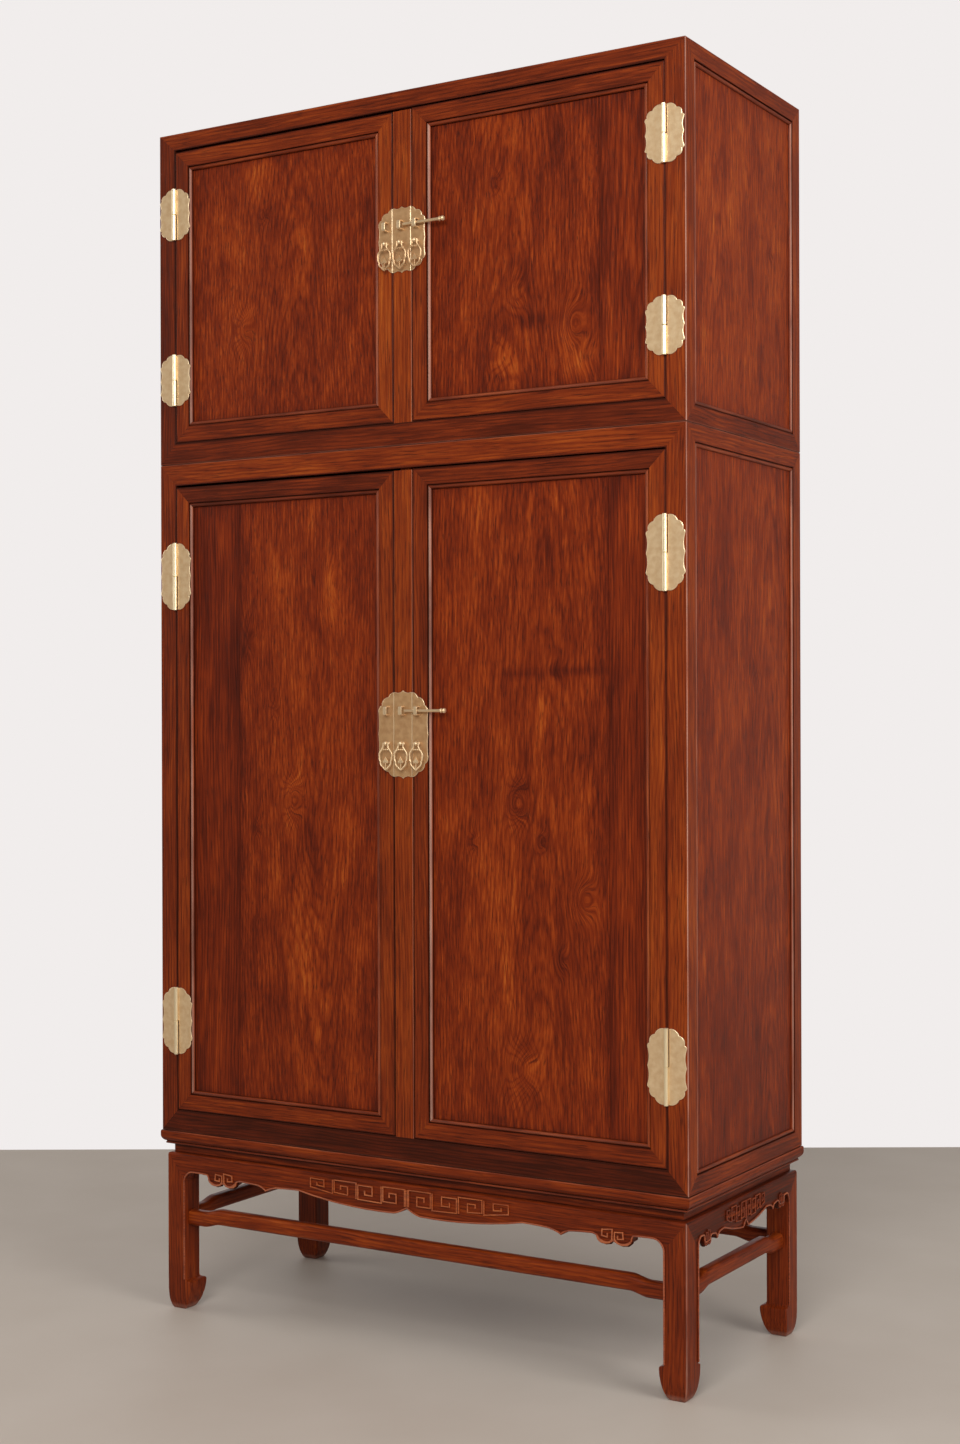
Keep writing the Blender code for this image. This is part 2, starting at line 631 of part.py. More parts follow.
def staple(x, level):
    """The strap loop that the lock's pin slides through, standing on the plate."""
    high = LOOP_HEIGHT / 2
    inside = high - LOOP_STRAP
    reach = LOOP_PROUD
    bend = LOOP_ROUNDING
    bulge = (1 - math.sqrt(0.5)) * bend
    inner_bend = bend - LOOP_STRAP / 2
    inner_bulge = -(1 - math.sqrt(0.5)) * inner_bend
    face = reach - LOOP_STRAP
    shape = outline((-SEAT, high), [
        (reach - bend, high, 0.0), (reach, high - bend, bulge), (reach, bend - high, 0.0),
        (reach - bend, -high, bulge), (-SEAT, -high, 0.0), (-SEAT, -inside, 0.0),
        (face - inner_bend, -inside, 0.0), (face, inner_bend - inside, inner_bulge),
        (face, inside - inner_bend, 0.0), (face - inner_bend, inside, inner_bulge), (-SEAT, inside, 0.0)])
    strap = slab([shape], LOOP_WIDTH)
    return moved(strap, STAND_UP, Matrix.Rotation(math.radians(-90), 4, "Z"), shift(x, PLATE_FACE, level))


def eye(x, level):
    """The ball-headed eye that a pull hangs from, bored along X."""
    ball = bmesh.new()
    bmesh.ops.create_uvsphere(ball, u_segments=SMALL_ROUND_STEPS, v_segments=BALL_RINGS, radius=EYE_RADIUS)
    moved(ball, Matrix.Diagonal((EYE_HALF_WIDTH / EYE_RADIUS, 1, 1, 1)))
    foot = EYE_PROUD + SEAT
    neck = turned([(0.0, 0.0), (EYE_NECK_RADIUS, 0.0), (EYE_NECK_RADIUS, foot), (0.0, foot)],
                  steps=SMALL_ROUND_STEPS)
    bore = PULL_PIN_RADIUS + CLEARANCE
    hole = turned([(0.0, -OVERSHOOT), (bore, -OVERSHOOT), (bore, OVERSHOOT), (0.0, OVERSHOOT)],
                  steps=SMALL_ROUND_STEPS)
    solid = combine("UNION", ball, [moved(neck, Z_TO_Y)])
    solid = combine("DIFFERENCE", solid, [moved(hole, Z_TO_X)])
    return moved(solid, shift(x, PLATE_FACE - EYE_PROUD, level))


def pull(swung, name):
    """A pierced drop pull: a pointed ring with a bud inside, hung on a pin through the eye."""
    inner_arm = EYE_HALF_WIDTH + KNUCKLE_CLEARANCE
    outer_arm = inner_arm + PULL_ARM
    crown = PULL_PIN_RADIUS + PULL_CROWN
    arm = [(inner_arm, -PULL_YOKE, 0.0), (inner_arm, crown, 0.0), (outer_arm, crown, 0.0),
           (outer_arm, -PULL_ARM_END, 0.0)]
    ring = mirrored(outline((0.0, -PULL_YOKE), [*arm, *PULL_RING]))
    hole = mirrored(outline((0.0, -PULL_HOLE_TOP), PULL_HOLE))
    plate = moved(slab([ring, hole], PULL_THICKNESS), STAND_UP)
    cross = turned([(0.0, -outer_arm + SEAT), (PULL_PIN_RADIUS, -outer_arm + SEAT),
                    (PULL_PIN_RADIUS, outer_arm - SEAT), (0.0, outer_arm - SEAT)], steps=SMALL_ROUND_STEPS)
    solid = combine("UNION", plate, [moved(cross, Z_TO_X)])
    piece(name, moved(solid, Matrix.Translation(world_place(swung))), BRASS, swung)


def lock_pin(door_hung, name, level):
    """The sliding pin, drawn to the right so that only the right door's loop holds it."""
    reach = FITTING_SPACING + LOOP_WIDTH / 2 + LOCK_PIN_END
    travel = reach + LOOP_WIDTH / 2 + LOCK_PIN_PARK
    centre = LOOP_PROUD - LOOP_STRAP - CLEARANCE - LOCK_PIN_RADIUS
    thin = LOCK_PIN_RADIUS
    knob = [(share * LOCK_PIN_KNOB, reach + along * LOCK_KNOB_LENGTH) for share, along in LOCK_KNOB_SHARES]
    rod = [(0.0, -reach), (LOCK_PIN_POINT_SHARE * thin, -reach), (thin, thin - reach), (thin, reach)]
    shaft = turned(rod + knob, steps=SMALL_ROUND_STEPS)
    slid = pivot(f"{name}_slide", (travel, PLATE_FACE - centre, level), door_hung)
    piece(name, moved(shaft, Z_TO_X, Matrix.Translation(world_place(slid))), BRASS, slid)


def lock(name, carriers, width, height, level, loop_rise, eye_drop):
    """The lock: three plate sections with a loop and an eye each, three pulls and one pin."""
    seam = STILE_WIDTH / 2
    limits = {"left": (-WIDTH, -DOOR_FREE_X), "centre": (-seam, seam), "right": (DOOR_FREE_X, WIDTH)}
    for index, (section, (low, high)) in enumerate(limits.items()):
        x = (index - 1) * FITTING_SPACING
        plate = keep_between(lock_plate(width, height, level), low, high)
        fittings = [staple(x, level + loop_rise), eye(x, level - eye_drop)]
        piece(f"{name}_lock_plate_{section}", combine("UNION", plate, fittings), BRASS, carriers[section])
        hook = (x, PLATE_FACE - EYE_PROUD, level - eye_drop)
        pull(pivot(f"{name}_pull_{section}_swing", hook, carriers[section]), f"{name}_pull_{section}")
    lock_pin(carriers["right"], f"{name}_lock_pin", level + loop_rise)


def front_of(root, name, low, high, hinge_height, hinge_offset):
    """The doors, hinges and centre stile of one cabinet, and what each lock section rides on."""
    door_low = low + DOOR_BOTTOM_GAP
    door_high = high - DOOR_TOP_GAP
    carriers = {"centre": pivot(f"{name}_stile_lift", (0, FRONT, low), root)}
    centre_stile(carriers["centre"], name, low, high)
    for side, sign in SIDES:
        hung = pivot(f"{name}_door_{side}_swing", (sign * HINGE_X, HINGE_Y, low), root)
        carriers[side] = hung
        door(hung, f"{name}_door_{side}", sign, door_low, door_high)
        levels = (door_high - hinge_offset, door_low + hinge_offset)
        hinges(root, hung, name, side, sign, levels, hinge_height)
    return carriers


def wardrobe():
    """Build the whole object."""
    root = pivot("wardrobe", (0, 0, 0))
    upper = pivot("upper_cabinet_lift", (0, MIDDLE, LOWER_TOP), root)
    stand(root)
    carcass(root, "lower", STAND_HEIGHT, LOWER_TOP - CLEARANCE, LOWER_TOP_RAIL, LOWER_BOTTOM_RAIL)
    carcass(upper, "upper", LOWER_TOP, UPPER_TOP, UPPER_TOP_RAIL, UPPER_BOTTOM_RAIL)
    shelf(root)
    lower_front = front_of(root, "lower", STAND_HEIGHT + LOWER_BOTTOM_RAIL,
                           LOWER_TOP - CLEARANCE - LOWER_TOP_RAIL, LOWER_HINGE_HEIGHT, LOWER_HINGE_OFFSET)
    upper_front = front_of(upper, "upper", LOWER_TOP + UPPER_BOTTOM_RAIL, UPPER_TOP - UPPER_TOP_RAIL,
                           UPPER_HINGE_HEIGHT, UPPER_HINGE_OFFSET)
    lock("lower", lower_front, LOWER_PLATE_WIDTH, LOWER_PLATE_HEIGHT, LOWER_PLATE_LEVEL, LOWER_LOOP_RISE,
         LOWER_EYE_DROP)
    lock("upper", upper_front, UPPER_PLATE_WIDTH, UPPER_PLATE_HEIGHT, UPPER_PLATE_LEVEL, UPPER_LOOP_RISE,
         UPPER_EYE_DROP)


wardrobe()
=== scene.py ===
# %% [markdown]
# A compound wardrobe: a short cabinet stands on a tall one, and both stand on a low stand with hoof feet.
# The imported CAD model already has every size, place and joint right, but its solids are plain.
# This lesson keeps its places and puts a finer piece over each solid: mitred timbers with their own grain,
# figured panels, carved aprons and cast brass.
# The CAD box is kept first.

# %% Load the imported frame
import itertools
import math

import bmesh
import bpy
from mathutils import Matrix, Vector


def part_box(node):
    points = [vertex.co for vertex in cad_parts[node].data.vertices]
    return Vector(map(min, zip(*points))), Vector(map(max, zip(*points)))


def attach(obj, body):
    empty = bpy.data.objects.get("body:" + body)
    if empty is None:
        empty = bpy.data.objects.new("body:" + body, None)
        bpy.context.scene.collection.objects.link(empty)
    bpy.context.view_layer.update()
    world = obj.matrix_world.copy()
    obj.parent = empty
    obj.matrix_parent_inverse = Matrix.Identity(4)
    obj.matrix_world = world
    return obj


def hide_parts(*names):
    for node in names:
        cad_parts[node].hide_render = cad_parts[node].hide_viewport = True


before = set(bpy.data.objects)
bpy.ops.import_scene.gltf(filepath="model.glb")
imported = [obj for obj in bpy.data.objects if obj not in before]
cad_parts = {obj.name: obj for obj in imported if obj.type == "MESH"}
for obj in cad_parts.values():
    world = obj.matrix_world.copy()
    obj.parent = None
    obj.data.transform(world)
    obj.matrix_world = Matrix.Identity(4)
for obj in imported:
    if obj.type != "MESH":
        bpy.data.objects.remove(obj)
scene = bpy.context.scene
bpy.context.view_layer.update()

# %% [markdown]
# The camera stands where the picture was taken from. Its place and angles were solved from the corners of the
# two cabinets, whose edges meet at known heights. The lens is worked out from the focal length in pixels
# of a picture 1444 pixels high, because Blender's sensor width belongs to the longer side of the picture.

# %% Camera
PHOTO_HEIGHT = 1444
FOCAL_PIXELS = 2053.3
CAMERA_PLACE = (2.1531, -3.5077, 1.2032)
YAW, PITCH, ROLL = (math.radians(angle) for angle in (31.336, -0.055, 0.161))

camera_data = bpy.data.cameras.new("camera")
camera_data.sensor_width = 36.0
camera_data.lens = camera_data.sensor_width * FOCAL_PIXELS / PHOTO_HEIGHT
camera = bpy.data.objects.new("camera", camera_data)
camera.matrix_world = (Matrix.Translation(CAMERA_PLACE) @ Matrix.Rotation(YAW, 4, "Z")
                       @ Matrix.Rotation(PITCH, 4, "X") @ Matrix.Rotation(ROLL, 4, "Y")
                       @ Matrix.Rotation(math.pi / 2, 4, "X"))
scene.collection.objects.link(camera)
scene.camera = camera
scene.view_settings.view_transform = "Standard"
print("lens:", round(camera_data.lens, 2), "mm")

# %% [markdown]
# Colours are written as hex values, the way a paint chart or a picture editor gives them. Cycles works in
# linear light, so one function converts them. A second small function adds a node to a material with its
# settings and links, which keeps each material a short list that reads from pattern to shader.

# %% Colour and node helpers
def linear(code):
    """An sRGB hex colour as linear red, green, blue and alpha."""
    values = [int(code[place:place + 2], 16) / 255 for place in (1, 3, 5)]
    return [v / 12.92 if v <= 0.04045 else ((v + 0.055) / 1.055) ** 2.4 for v in values] + [1.0]


def feed(tree, target, inputs):
    """Give inputs of a node a value each, or the socket that feeds it."""
    for name, value in inputs.items():
        if isinstance(value, bpy.types.NodeSocket):
            tree.links.new(value, target.inputs[name])
        else:
            target.inputs[name].default_value = value


def node(tree, kind, inputs=None, out=0, **settings):
    """Add a shader node with its settings and inputs; gives the output that is asked for."""
    made = tree.nodes.new("ShaderNode" + kind)
    for name, value in settings.items():
        setattr(made, name, value)
    feed(tree, made, inputs or {})
    return made.outputs[out]


def new_material(name):
    """A material with its node tree and its shader."""
    material = bpy.data.materials.new(name)
    material.use_nodes = True
    return material, material.node_tree, material.node_tree.nodes["Principled BSDF"]


print("mid brown in linear light:", [round(v, 3) for v in linear("#7A3016")])

# %% [markdown]
# The wood is rosewood, rubbed smooth and waxed. To the eye that gives a deep red brown with darker growth
# rings, fine fibres and short open pores that all run along the board, and a soft sheen.
# Each piece carries its own place in the trunk as a point attribute called grain: across, depth, along. The
# patterns are noise on that place, stretched along the board. The first is the bend of the trunk, and it and
# the knots move all finer patterns aside, so that streaks and fibres flow with the rings.
# Fibres are drawn 2.8 mm wide and pores 1.8 mm, some four times the real ones, so that they show.

# %% Patterns of the wood
WOOD_LAYERS = (("bend", 150, 650, 1), ("cloud", 50, 150, 3), ("streak", 8, 170, 2),
               ("fibre", 2.8, 240, 2), ("pore", 1.8, 42, 1))
LAYER_ROUGHNESS, BEND_REACH = 0.55, 0.036


def wood_layers(tree, grain, knot):
    """The patterns of WOOD_LAYERS, whose sizes are across and along in mm, and the sway of the rings."""
    layers, drawn = {}, grain
    for label, across, along, detail in WOOD_LAYERS:
        size = (1000 / across, 1000 / across, 1000 / along)
        scaled = node(tree, "VectorMath", {0: drawn, 1: size}, operation="MULTIPLY")
        layers[label] = node(tree, "TexNoise", {"Vector": scaled, "Scale": 1.0, "Detail": detail,
                                                "Roughness": LAYER_ROUGHNESS}, "Fac")
        if label == "bend":
            sway = node(tree, "Math", {0: layers["bend"], 1: BEND_REACH, 2: knot}, operation="MULTIPLY_ADD")
            aside = node(tree, "CombineXYZ", {"X": sway})
            drawn = node(tree, "VectorMath", {0: grain, 1: aside}, operation="ADD")
    return layers, sway


print("wood patterns:", [label for label, *_ in WOOD_LAYERS])

# %% [markdown]
# A board's rings are slices through the trunk's cylinders, so they are drawn as the distance from the
# trunk's heart: that gives the pointed arches of a flat-sawn panel and the straight lines of a rail.
# A ring is a narrow dark line of late wood beside a wider pale band, so a sine wave is raised to a power.
# Clouds space the rings unevenly and streaks break them up, because even, unbroken rings look printed.

# %% Growth rings
RING_SPACING, RING_UNEVENNESS, LATE_WOOD_POWER, LATE_WOOD_MEAN = 0.0068, 0.016, 3.0, 0.31


def broken_rings(tree, grain, layers, sway):
    """The dark late wood of the rings round the trunk's heart, from 0 to 1."""
    flat = node(tree, "VectorMath", {0: grain, 1: (1, 1, 0)}, operation="MULTIPLY")
    heart = node(tree, "VectorMath", {0: flat}, "Value", operation="LENGTH")
    uneven = node(tree, "Math", {0: layers["cloud"], 1: RING_UNEVENNESS, 2: sway}, operation="MULTIPLY_ADD")
    place = node(tree, "Math", {0: heart, 1: uneven}, operation="ADD")
    turns = node(tree, "Math", {0: place, 1: math.tau / RING_SPACING}, operation="MULTIPLY")
    wave = node(tree, "Math", {0: turns}, operation="SINE")
    lifted = node(tree, "Math", {0: wave, 1: 0.5, 2: 0.5}, operation="MULTIPLY_ADD")
    late_wood = node(tree, "Math", {0: lifted, 1: LATE_WOOD_POWER}, operation="POWER")
    return node(tree, "Math", {0: late_wood, 1: layers["streak"]}, operation="MULTIPLY")


print("ring spacing:", RING_SPACING * 1000, "mm")

# %% [markdown]
# The material adds rings, clouds, streaks and fibres to one value, and a ramp of five browns turns it into a
# colour. More point attributes say where a knot bends the rings, where the board is darker or paler (tone),
# which also carries painted shade in gaps, quirks and corners and painted highlights on carved lines, and
# where an edge or a bead is painted pale (wear_and_highlight), a painted highlight with some wear, which
# shows in patches. Pores are dark and sunk.
# Boards that don't show, at the back, on top and inside, were left unwaxed, so they are duller and rougher.

# %% Waxed rosewood
BROWN_PLACES = (0.0, 0.30, 0.50, 0.72, 1.0)
PORE_COLOUR, PORE_OPENS, PORE_IS_OPEN, PORE_DARKNESS = "#34120A", 0.58, 0.70, 0.6
PALE_WEAR_AND_HIGHLIGHT_COLOUR, PALE_PATCH_FROM, PALE_PATCH_TO, PALE_PATCH_LEAST = "#D0A895", 0.35, 0.60, 0.40
SHEEN_SPREAD, WOOD_BUMP, WOOD_RELIEF, WAX_SPECULAR = 0.10, 0.25, 0.0004, 0.14


def waxed_rosewood(name, browns, ring_weight, weights, sheen):
    """Rosewood in five browns, dark to pale; the weights are those of clouds, streaks and fibres."""
    material, tree, shader = new_material(name)
    grain = node(tree, "Attribute", out="Vector", attribute_name="grain")
    knot, tone, wear_and_highlight = (node(tree, "Attribute", out="Fac", attribute_name=label)
                        for label in ("knot", "tone", "wear_and_highlight"))
    layers, sway = wood_layers(tree, grain, knot)
    rings = broken_rings(tree, grain, layers, sway)
    value = node(tree, "Math", {0: rings, 1: -2 * ring_weight, 2: tone}, operation="MULTIPLY_ADD")
    for label, weight in zip(("cloud", "streak", "fibre"), weights):
        value = node(tree, "Math", {0: layers[label], 1: weight, 2: value}, operation="MULTIPLY_ADD")
    middle = 0.5 + LATE_WOOD_MEAN * ring_weight - sum(weights) / 2
    level = node(tree, "Math", {0: value, 1: middle}, operation="ADD")
    brown = node(tree, "ValToRGB", {"Fac": level}, "Color")
    stops = brown.node.color_ramp.elements
    for place in BROWN_PLACES[1:-1]:
        stops.new(place)
    for stop, place, colour in zip(stops, BROWN_PLACES, browns):
        stop.position = place
        stop.color = linear(colour)
    pore = node(tree, "MapRange", {"Value": layers["pore"], "From Min": PORE_OPENS, "From Max": PORE_IS_OPEN})
    dark = node(tree, "Math", {0: pore, 1: PORE_DARKNESS}, operation="MULTIPLY")
    pored = node(tree, "Mix", {0: dark, 6: brown, 7: linear(PORE_COLOUR)}, 2, data_type="RGBA")
    # The pale mix is a painted highlight on arrises, beads and carved crowns, with some real wear, shown in
    # patches.
    patchy = node(tree, "MapRange", {"Value": layers["cloud"], "From Min": PALE_PATCH_FROM, "From Max": PALE_PATCH_TO,
                                     "To Min": PALE_PATCH_LEAST})
    rubbed_and_highlit = node(tree, "Math", {0: wear_and_highlight, 1: patchy}, operation="MULTIPLY", use_clamp=True)
    worn_and_highlit = node(tree, "Mix", {0: rubbed_and_highlit, 6: pored, 7: linear(PALE_WEAR_AND_HIGHLIGHT_COLOUR)}, 2, data_type="RGBA")
    gloss = node(tree, "MapRange", {"Value": layers["fibre"], "From Min": 0.3, "From Max": 0.7,
                                    "To Min": sheen, "To Max": sheen + SHEEN_SPREAD})
    relief = node(tree, "Math", {0: layers["fibre"], 1: pore}, operation="SUBTRACT")
    bump = node(tree, "Bump", {"Strength": WOOD_BUMP, "Distance": WOOD_RELIEF, "Height": relief}, "Normal")
    feed(tree, shader, {"Base Color": worn_and_highlit, "Roughness": gloss, "Normal": bump,
                        "Specular IOR Level": WAX_SPECULAR})
    return material


frame_wood = waxed_rosewood("rosewood_frame", ("#391205", "#5B1F0A", "#782C0D", "#954012", "#B25B1C"),
                            0.12, (0.55, 0.36, 0.66), 0.34)
panel_wood = waxed_rosewood("rosewood_panel", ("#3B1106", "#5D1D09", "#79290A", "#983D10", "#BA5F1F"),
                            0.13, (0.62, 0.54, 0.72), 0.34)
board_wood = waxed_rosewood("rosewood_unwaxed_board", ("#34140B", "#522214", "#6A301C", "#824326", "#9A5A34"),
                            0.10, (0.70, 0.40, 0.70), 0.62)
print("woods:", frame_wood.name, panel_wood.name, board_wood.name)

# %% [markdown]
# The fittings are sheet and cast brass, filed flat, once polished and now dull. That gives a pale straw
# colour, slightly browner on the lock plates than on the hinges, with cloudy patches about 12 mm wide
# where the tarnish is thicker, and fine scratches from cleaning. Rims, barrels and pulls are rubbed bright by
# use, so a face attribute called polish says how far a face turns pale and smooth.

# %% Dull brass
TARNISH_MM, SCRATCH_MM, SCRATCH_STRETCH = 12, 0.9, (1.0, 1.0, 0.06)
BRASS_POLISHED_ROUGHNESS, BRASS_DULL_METAL, BRASS_POLISHED_METAL = 0.28, 0.55, 0.72
BRASS_BUMP, BRASS_RELIEF = 0.15, 0.0002


def dull_brass(name, pale, dark, bright, rough):
    """Brass with cloudy tarnish and fine cleaning scratches, bright where it is polished."""
    material, tree, shader = new_material(name)
    place = node(tree, "TexCoord", out="Object")
    polish = node(tree, "Attribute", out="Fac", attribute_name="polish")
    cloud = node(tree, "TexNoise", {"Vector": place, "Scale": 1000 / TARNISH_MM, "Detail": 3}, "Fac")
    spread = node(tree, "MapRange", {"Value": cloud, "From Min": 0.35, "From Max": 0.65})
    tarnish = node(tree, "Mix", {0: spread, 6: linear(pale), 7: linear(dark)}, 2, data_type="RGBA")
    cleaned = node(tree, "Mix", {0: polish, 6: tarnish, 7: linear(bright)}, 2, data_type="RGBA")
    stretched = node(tree, "VectorMath", {0: place, 1: SCRATCH_STRETCH}, operation="MULTIPLY")
    scratch = node(tree, "TexNoise", {"Vector": stretched, "Scale": 1000 / SCRATCH_MM, "Detail": 2}, "Fac")
    gloss = node(tree, "MapRange", {"Value": scratch, "From Min": 0.3, "From Max": 0.7,
                                    "To Min": rough - 0.04, "To Max": rough + 0.08})
    smoothed = node(tree, "Mix", {0: polish, 2: gloss, 3: BRASS_POLISHED_ROUGHNESS}, data_type="FLOAT")
    metal = node(tree, "MapRange", {"Value": polish, "To Min": BRASS_DULL_METAL,
                                    "To Max": BRASS_POLISHED_METAL})
    bump = node(tree, "Bump", {"Strength": BRASS_BUMP, "Distance": BRASS_RELIEF, "Height": scratch}, "Normal")
    feed(tree, shader, {"Base Color": cleaned, "Roughness": smoothed, "Metallic": metal, "Normal": bump})
    return material


hinge_brass = dull_brass("brass_hinge", "#EACDA2", "#DEBB8E", "#F8E6BE", 0.36)
plate_brass = dull_brass("brass_lock_plate", "#D0A778", "#BF9365", "#F3DFB8", 0.38)
print("brass:", hinge_brass.name, plate_brass.name)

# %% [markdown]
# The studio is a pale floor with faint patches a third of a metre wide, a pale room behind the wardrobe and a
# dimmer room behind the camera. A dark waxed surface shows what it mirrors, so a room that is bright on every
# side would turn it milky.
# The world is therefore shaded by direction, with the floor's own colour below the horizon, and three large
# soft lamps light the wood.

# %% Floor
FLOOR_BEHIND, FLOOR_HALF, FLOOR_PATCHES, FLOOR_ROUGHNESS = 1.65, 8.0, 3.0, 0.6
stone, stone_tree, stone_shader = new_material("pale_stone_floor")
stone_place = node(stone_tree, "TexCoord", out="Object")
stone_cloud = node(stone_tree, "TexNoise", {"Vector": stone_place, "Scale": FLOOR_PATCHES, "Detail": 6},
                   "Fac")
stone_colour = node(stone_tree, "Mix", {0: stone_cloud, 6: linear("#BBAFA2"), 7: linear("#CBC1B6")}, 2,
                    data_type="RGBA")
feed(stone_tree, stone_shader, {"Base Color": stone_colour, "Roughness": FLOOR_ROUGHNESS})
floor_shape = bmesh.new()
bmesh.ops.create_grid(floor_shape, x_segments=1, y_segments=1, size=FLOOR_HALF)
bmesh.ops.transform(floor_shape, verts=floor_shape.verts, matrix=Matrix.Rotation(YAW, 4, "Z")
                    @ Matrix.Translation((0, FLOOR_BEHIND - FLOOR_HALF, 0)))
floor_mesh = bpy.data.meshes.new("floor")
floor_shape.to_mesh(floor_mesh)
floor_shape.free()
floor_mesh.materials.append(stone)
floor = bpy.data.objects.new("floor", floor_mesh)
scene.collection.objects.link(floor)
print("floor:", 2 * FLOOR_HALF, "m wide")

# %% Room and lamps
LAMP_SIZE, LAMP_AIM = 2.4, Vector((0, 0, 1.1))
LAMPS = (("key", (1.6, -4.6, 3.6), 152.0), ("side", (4.4, -1.2, 2.6), 104.0),
         ("fill", (-4.4, -0.9, 2.6), 42.0))

world = bpy.data.worlds.new("studio")
scene.world = world
world.use_nodes = True
sky = world.node_tree
view_way = Vector((-math.sin(YAW), math.cos(YAW), 0))
way = node(sky, "TexCoord", out="Generated")
behind = node(sky, "VectorMath", {0: way, 1: view_way}, "Value", operation="DOT_PRODUCT")
share = node(sky, "MapRange", {"Value": behind, "From Min": 0.66, "From Max": 0.92},
             interpolation_type="SMOOTHSTEP")
height = node(sky, "SeparateXYZ", {"Vector": way}, "Z")
above = node(sky, "MapRange", {"Value": height, "From Min": -0.03, "From Max": 0.03})
around = node(sky, "Mix", {0: above, 6: linear("#A89E93"), 7: linear("#8E8984")}, 2, data_type="RGBA")
room = node(sky, "Mix", {0: share, 6: around, 7: linear("#F1EDEC")}, 2, data_type="RGBA")
feed(sky, sky.nodes["Background"], {"Color": room})

for lamp_name, place, watts in LAMPS:
    light = bpy.data.lights.new(lamp_name, "AREA")
    light.shape = "SQUARE"
    light.size = LAMP_SIZE
    light.energy = watts
    lamp = bpy.data.objects.new(lamp_name, light)
    lamp.location = place
    lamp.rotation_euler = (LAMP_AIM - Vector(place)).to_track_quat("-Z", "Y").to_euler()
    scene.collection.objects.link(lamp)
print("lamps:", [lamp_name for lamp_name, *_ in LAMPS])

# %% [markdown]
# Every wooden piece goes through two helpers. The first writes the grain: it says which way the board runs
# and moves each board to its own place in the trunk, so that no two boards look alike.
# The second turns a bmesh into an object that rides on a CAD body and stands for CAD nodes. Its weighted
# normals keep large faces flat where a small bevel meets them.

# %% Grain and piece helpers
board_numbers = itertools.count(1)
ACROSS = {0: (2, 1), 1: (2, 0), 2: (0, 1)}
HEART_ACROSS, HEART_DEEP, HEART_LEAN = 0.11, 0.06, 0.02
BOARD_STEP, DRIFT_STEP, LEAST_DRIFT, TONE_SPREAD = 2.7, 0.37, 0.6, 0.06
WOOD_SHARP, BRASS_SHARP = 32, 20


def lay_grain(solid, axis, tone=0.0):
    """Write the grain of a board that runs along an axis. The tone is added to what a section has written."""
    number = next(board_numbers)
    grain = solid.verts.layers.float_vector.new("grain")
    shade = solid.verts.layers.float.get("tone") or solid.verts.layers.float.new("tone")
    wide, deep = ACROSS[axis]
    middle = sum((point.co for point in solid.verts), Vector()) / len(solid.verts)
    side = 1 if number % 2 else -1
    drift = (number * DRIFT_STEP) % 1.0
    for point in solid.verts:
        along = point.co[axis] - middle[axis]
        point[grain] = (point.co[wide] - middle[wide] + side * HEART_ACROSS * (LEAST_DRIFT + drift),
                        point.co[deep] - middle[deep] + HEART_DEEP + HEART_LEAN * along,
                        along + BOARD_STEP * number)
        point[shade] += tone + TONE_SPREAD * (drift - 0.5)
    return solid


def joined(*solids):
    """Put several bmeshes into the first one."""
    first = solids[0]
    for other in solids[1:]:
        mesh = bpy.data.meshes.new("joined")
        other.to_mesh(mesh)
        other.free()
        first.from_mesh(mesh)
        bpy.data.meshes.remove(mesh)
    return first


def piece(name, solid, body, material, *replaced, sharp=WOOD_SHARP):
    """Turn a bmesh into an object on a body; edges that turn more than sharp degrees stay crisp."""
    for face in solid.faces:
        face.smooth = True
    for edge in solid.edges:
        edge.smooth = edge.calc_face_angle(0.0) < math.radians(sharp)
    mesh = bpy.data.meshes.new(name)
    solid.to_mesh(mesh)
    solid.free()
    mesh.materials.append(material)
    item = bpy.data.objects.new(name, mesh)
    scene.collection.objects.link(item)
    item.modifiers.new("flat_faces_stay_flat", "WEIGHTED_NORMAL").keep_sharp = True
    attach(item, body)
    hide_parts(*replaced)


# %% [markdown]
# A few moves come back on every piece, as they do at a bench: draw out a face, saw, bevel, shift, turn. Each
# is a bmesh operator with the settings that this script always gives it.

# %% Bench helpers
SHORTEST_EDGE = 0.00001


def outward(solid):
    """Point all faces outward."""
    bmesh.ops.recalc_face_normals(solid, faces=solid.faces)
    return solid


def shifted(solid, way):
    """Move a whole solid."""
    bmesh.ops.translate(solid, vec=way, verts=solid.verts)
    return solid


def placed(solid, matrix):
    """Move and turn a whole solid."""
    bmesh.ops.transform(solid, matrix=matrix, verts=solid.verts)
    return solid


def bevelled(solid, parts, offset, segments, affect="EDGES"):
    """Bevel edges or corners; gives the new faces."""
    return bmesh.ops.bevel(solid, geom=parts, offset=offset, segments=segments, profile=0.5, affect=affect,
                           material=-1)["faces"]


def thickened(solid, faces, way):
    """Extrude faces and move the new ones."""
    raised = bmesh.ops.extrude_face_region(solid, geom=faces)["geom"]
    points = [part for part in raised if isinstance(part, bmesh.types.BMVert)]
    bmesh.ops.translate(solid, vec=way, verts=points)


def closed(solid):
    """Fill the open ends."""
    bmesh.ops.edgeloop_fill(solid, edges=[edge for edge in solid.edges if edge.is_boundary])


def saw(solid, place, normal, clean=True):
    """Cut away what lies beyond a plane and close the cut; a clean cut leaves no edges without length."""
    bmesh.ops.bisect_plane(solid, geom=[*solid.verts, *solid.edges, *solid.faces], plane_co=place,
                           plane_no=normal, clear_outer=True)
    closed(solid)
    if clean:
        bmesh.ops.dissolve_degenerate(solid, edges=solid.edges[:], dist=SHORTEST_EDGE)


print("bench helpers: outward, shifted, placed, bevelled, thickened, closed, saw")

# %% [markdown]
# The timbers of a cabinet are lengths of one section, cut to a mitre at each end. At a corner of the carcass
# three of them meet, and on each of the three faces they meet at a slanted line.
# A length is made as the joiner makes it: draw the section, extrude it, then saw the ends with a slanted
# plane for each neighbour. The slope of the saw says how far the end draws back for each unit inward.

# %% Mitred lengths
MITRE_GAP = 0.00008


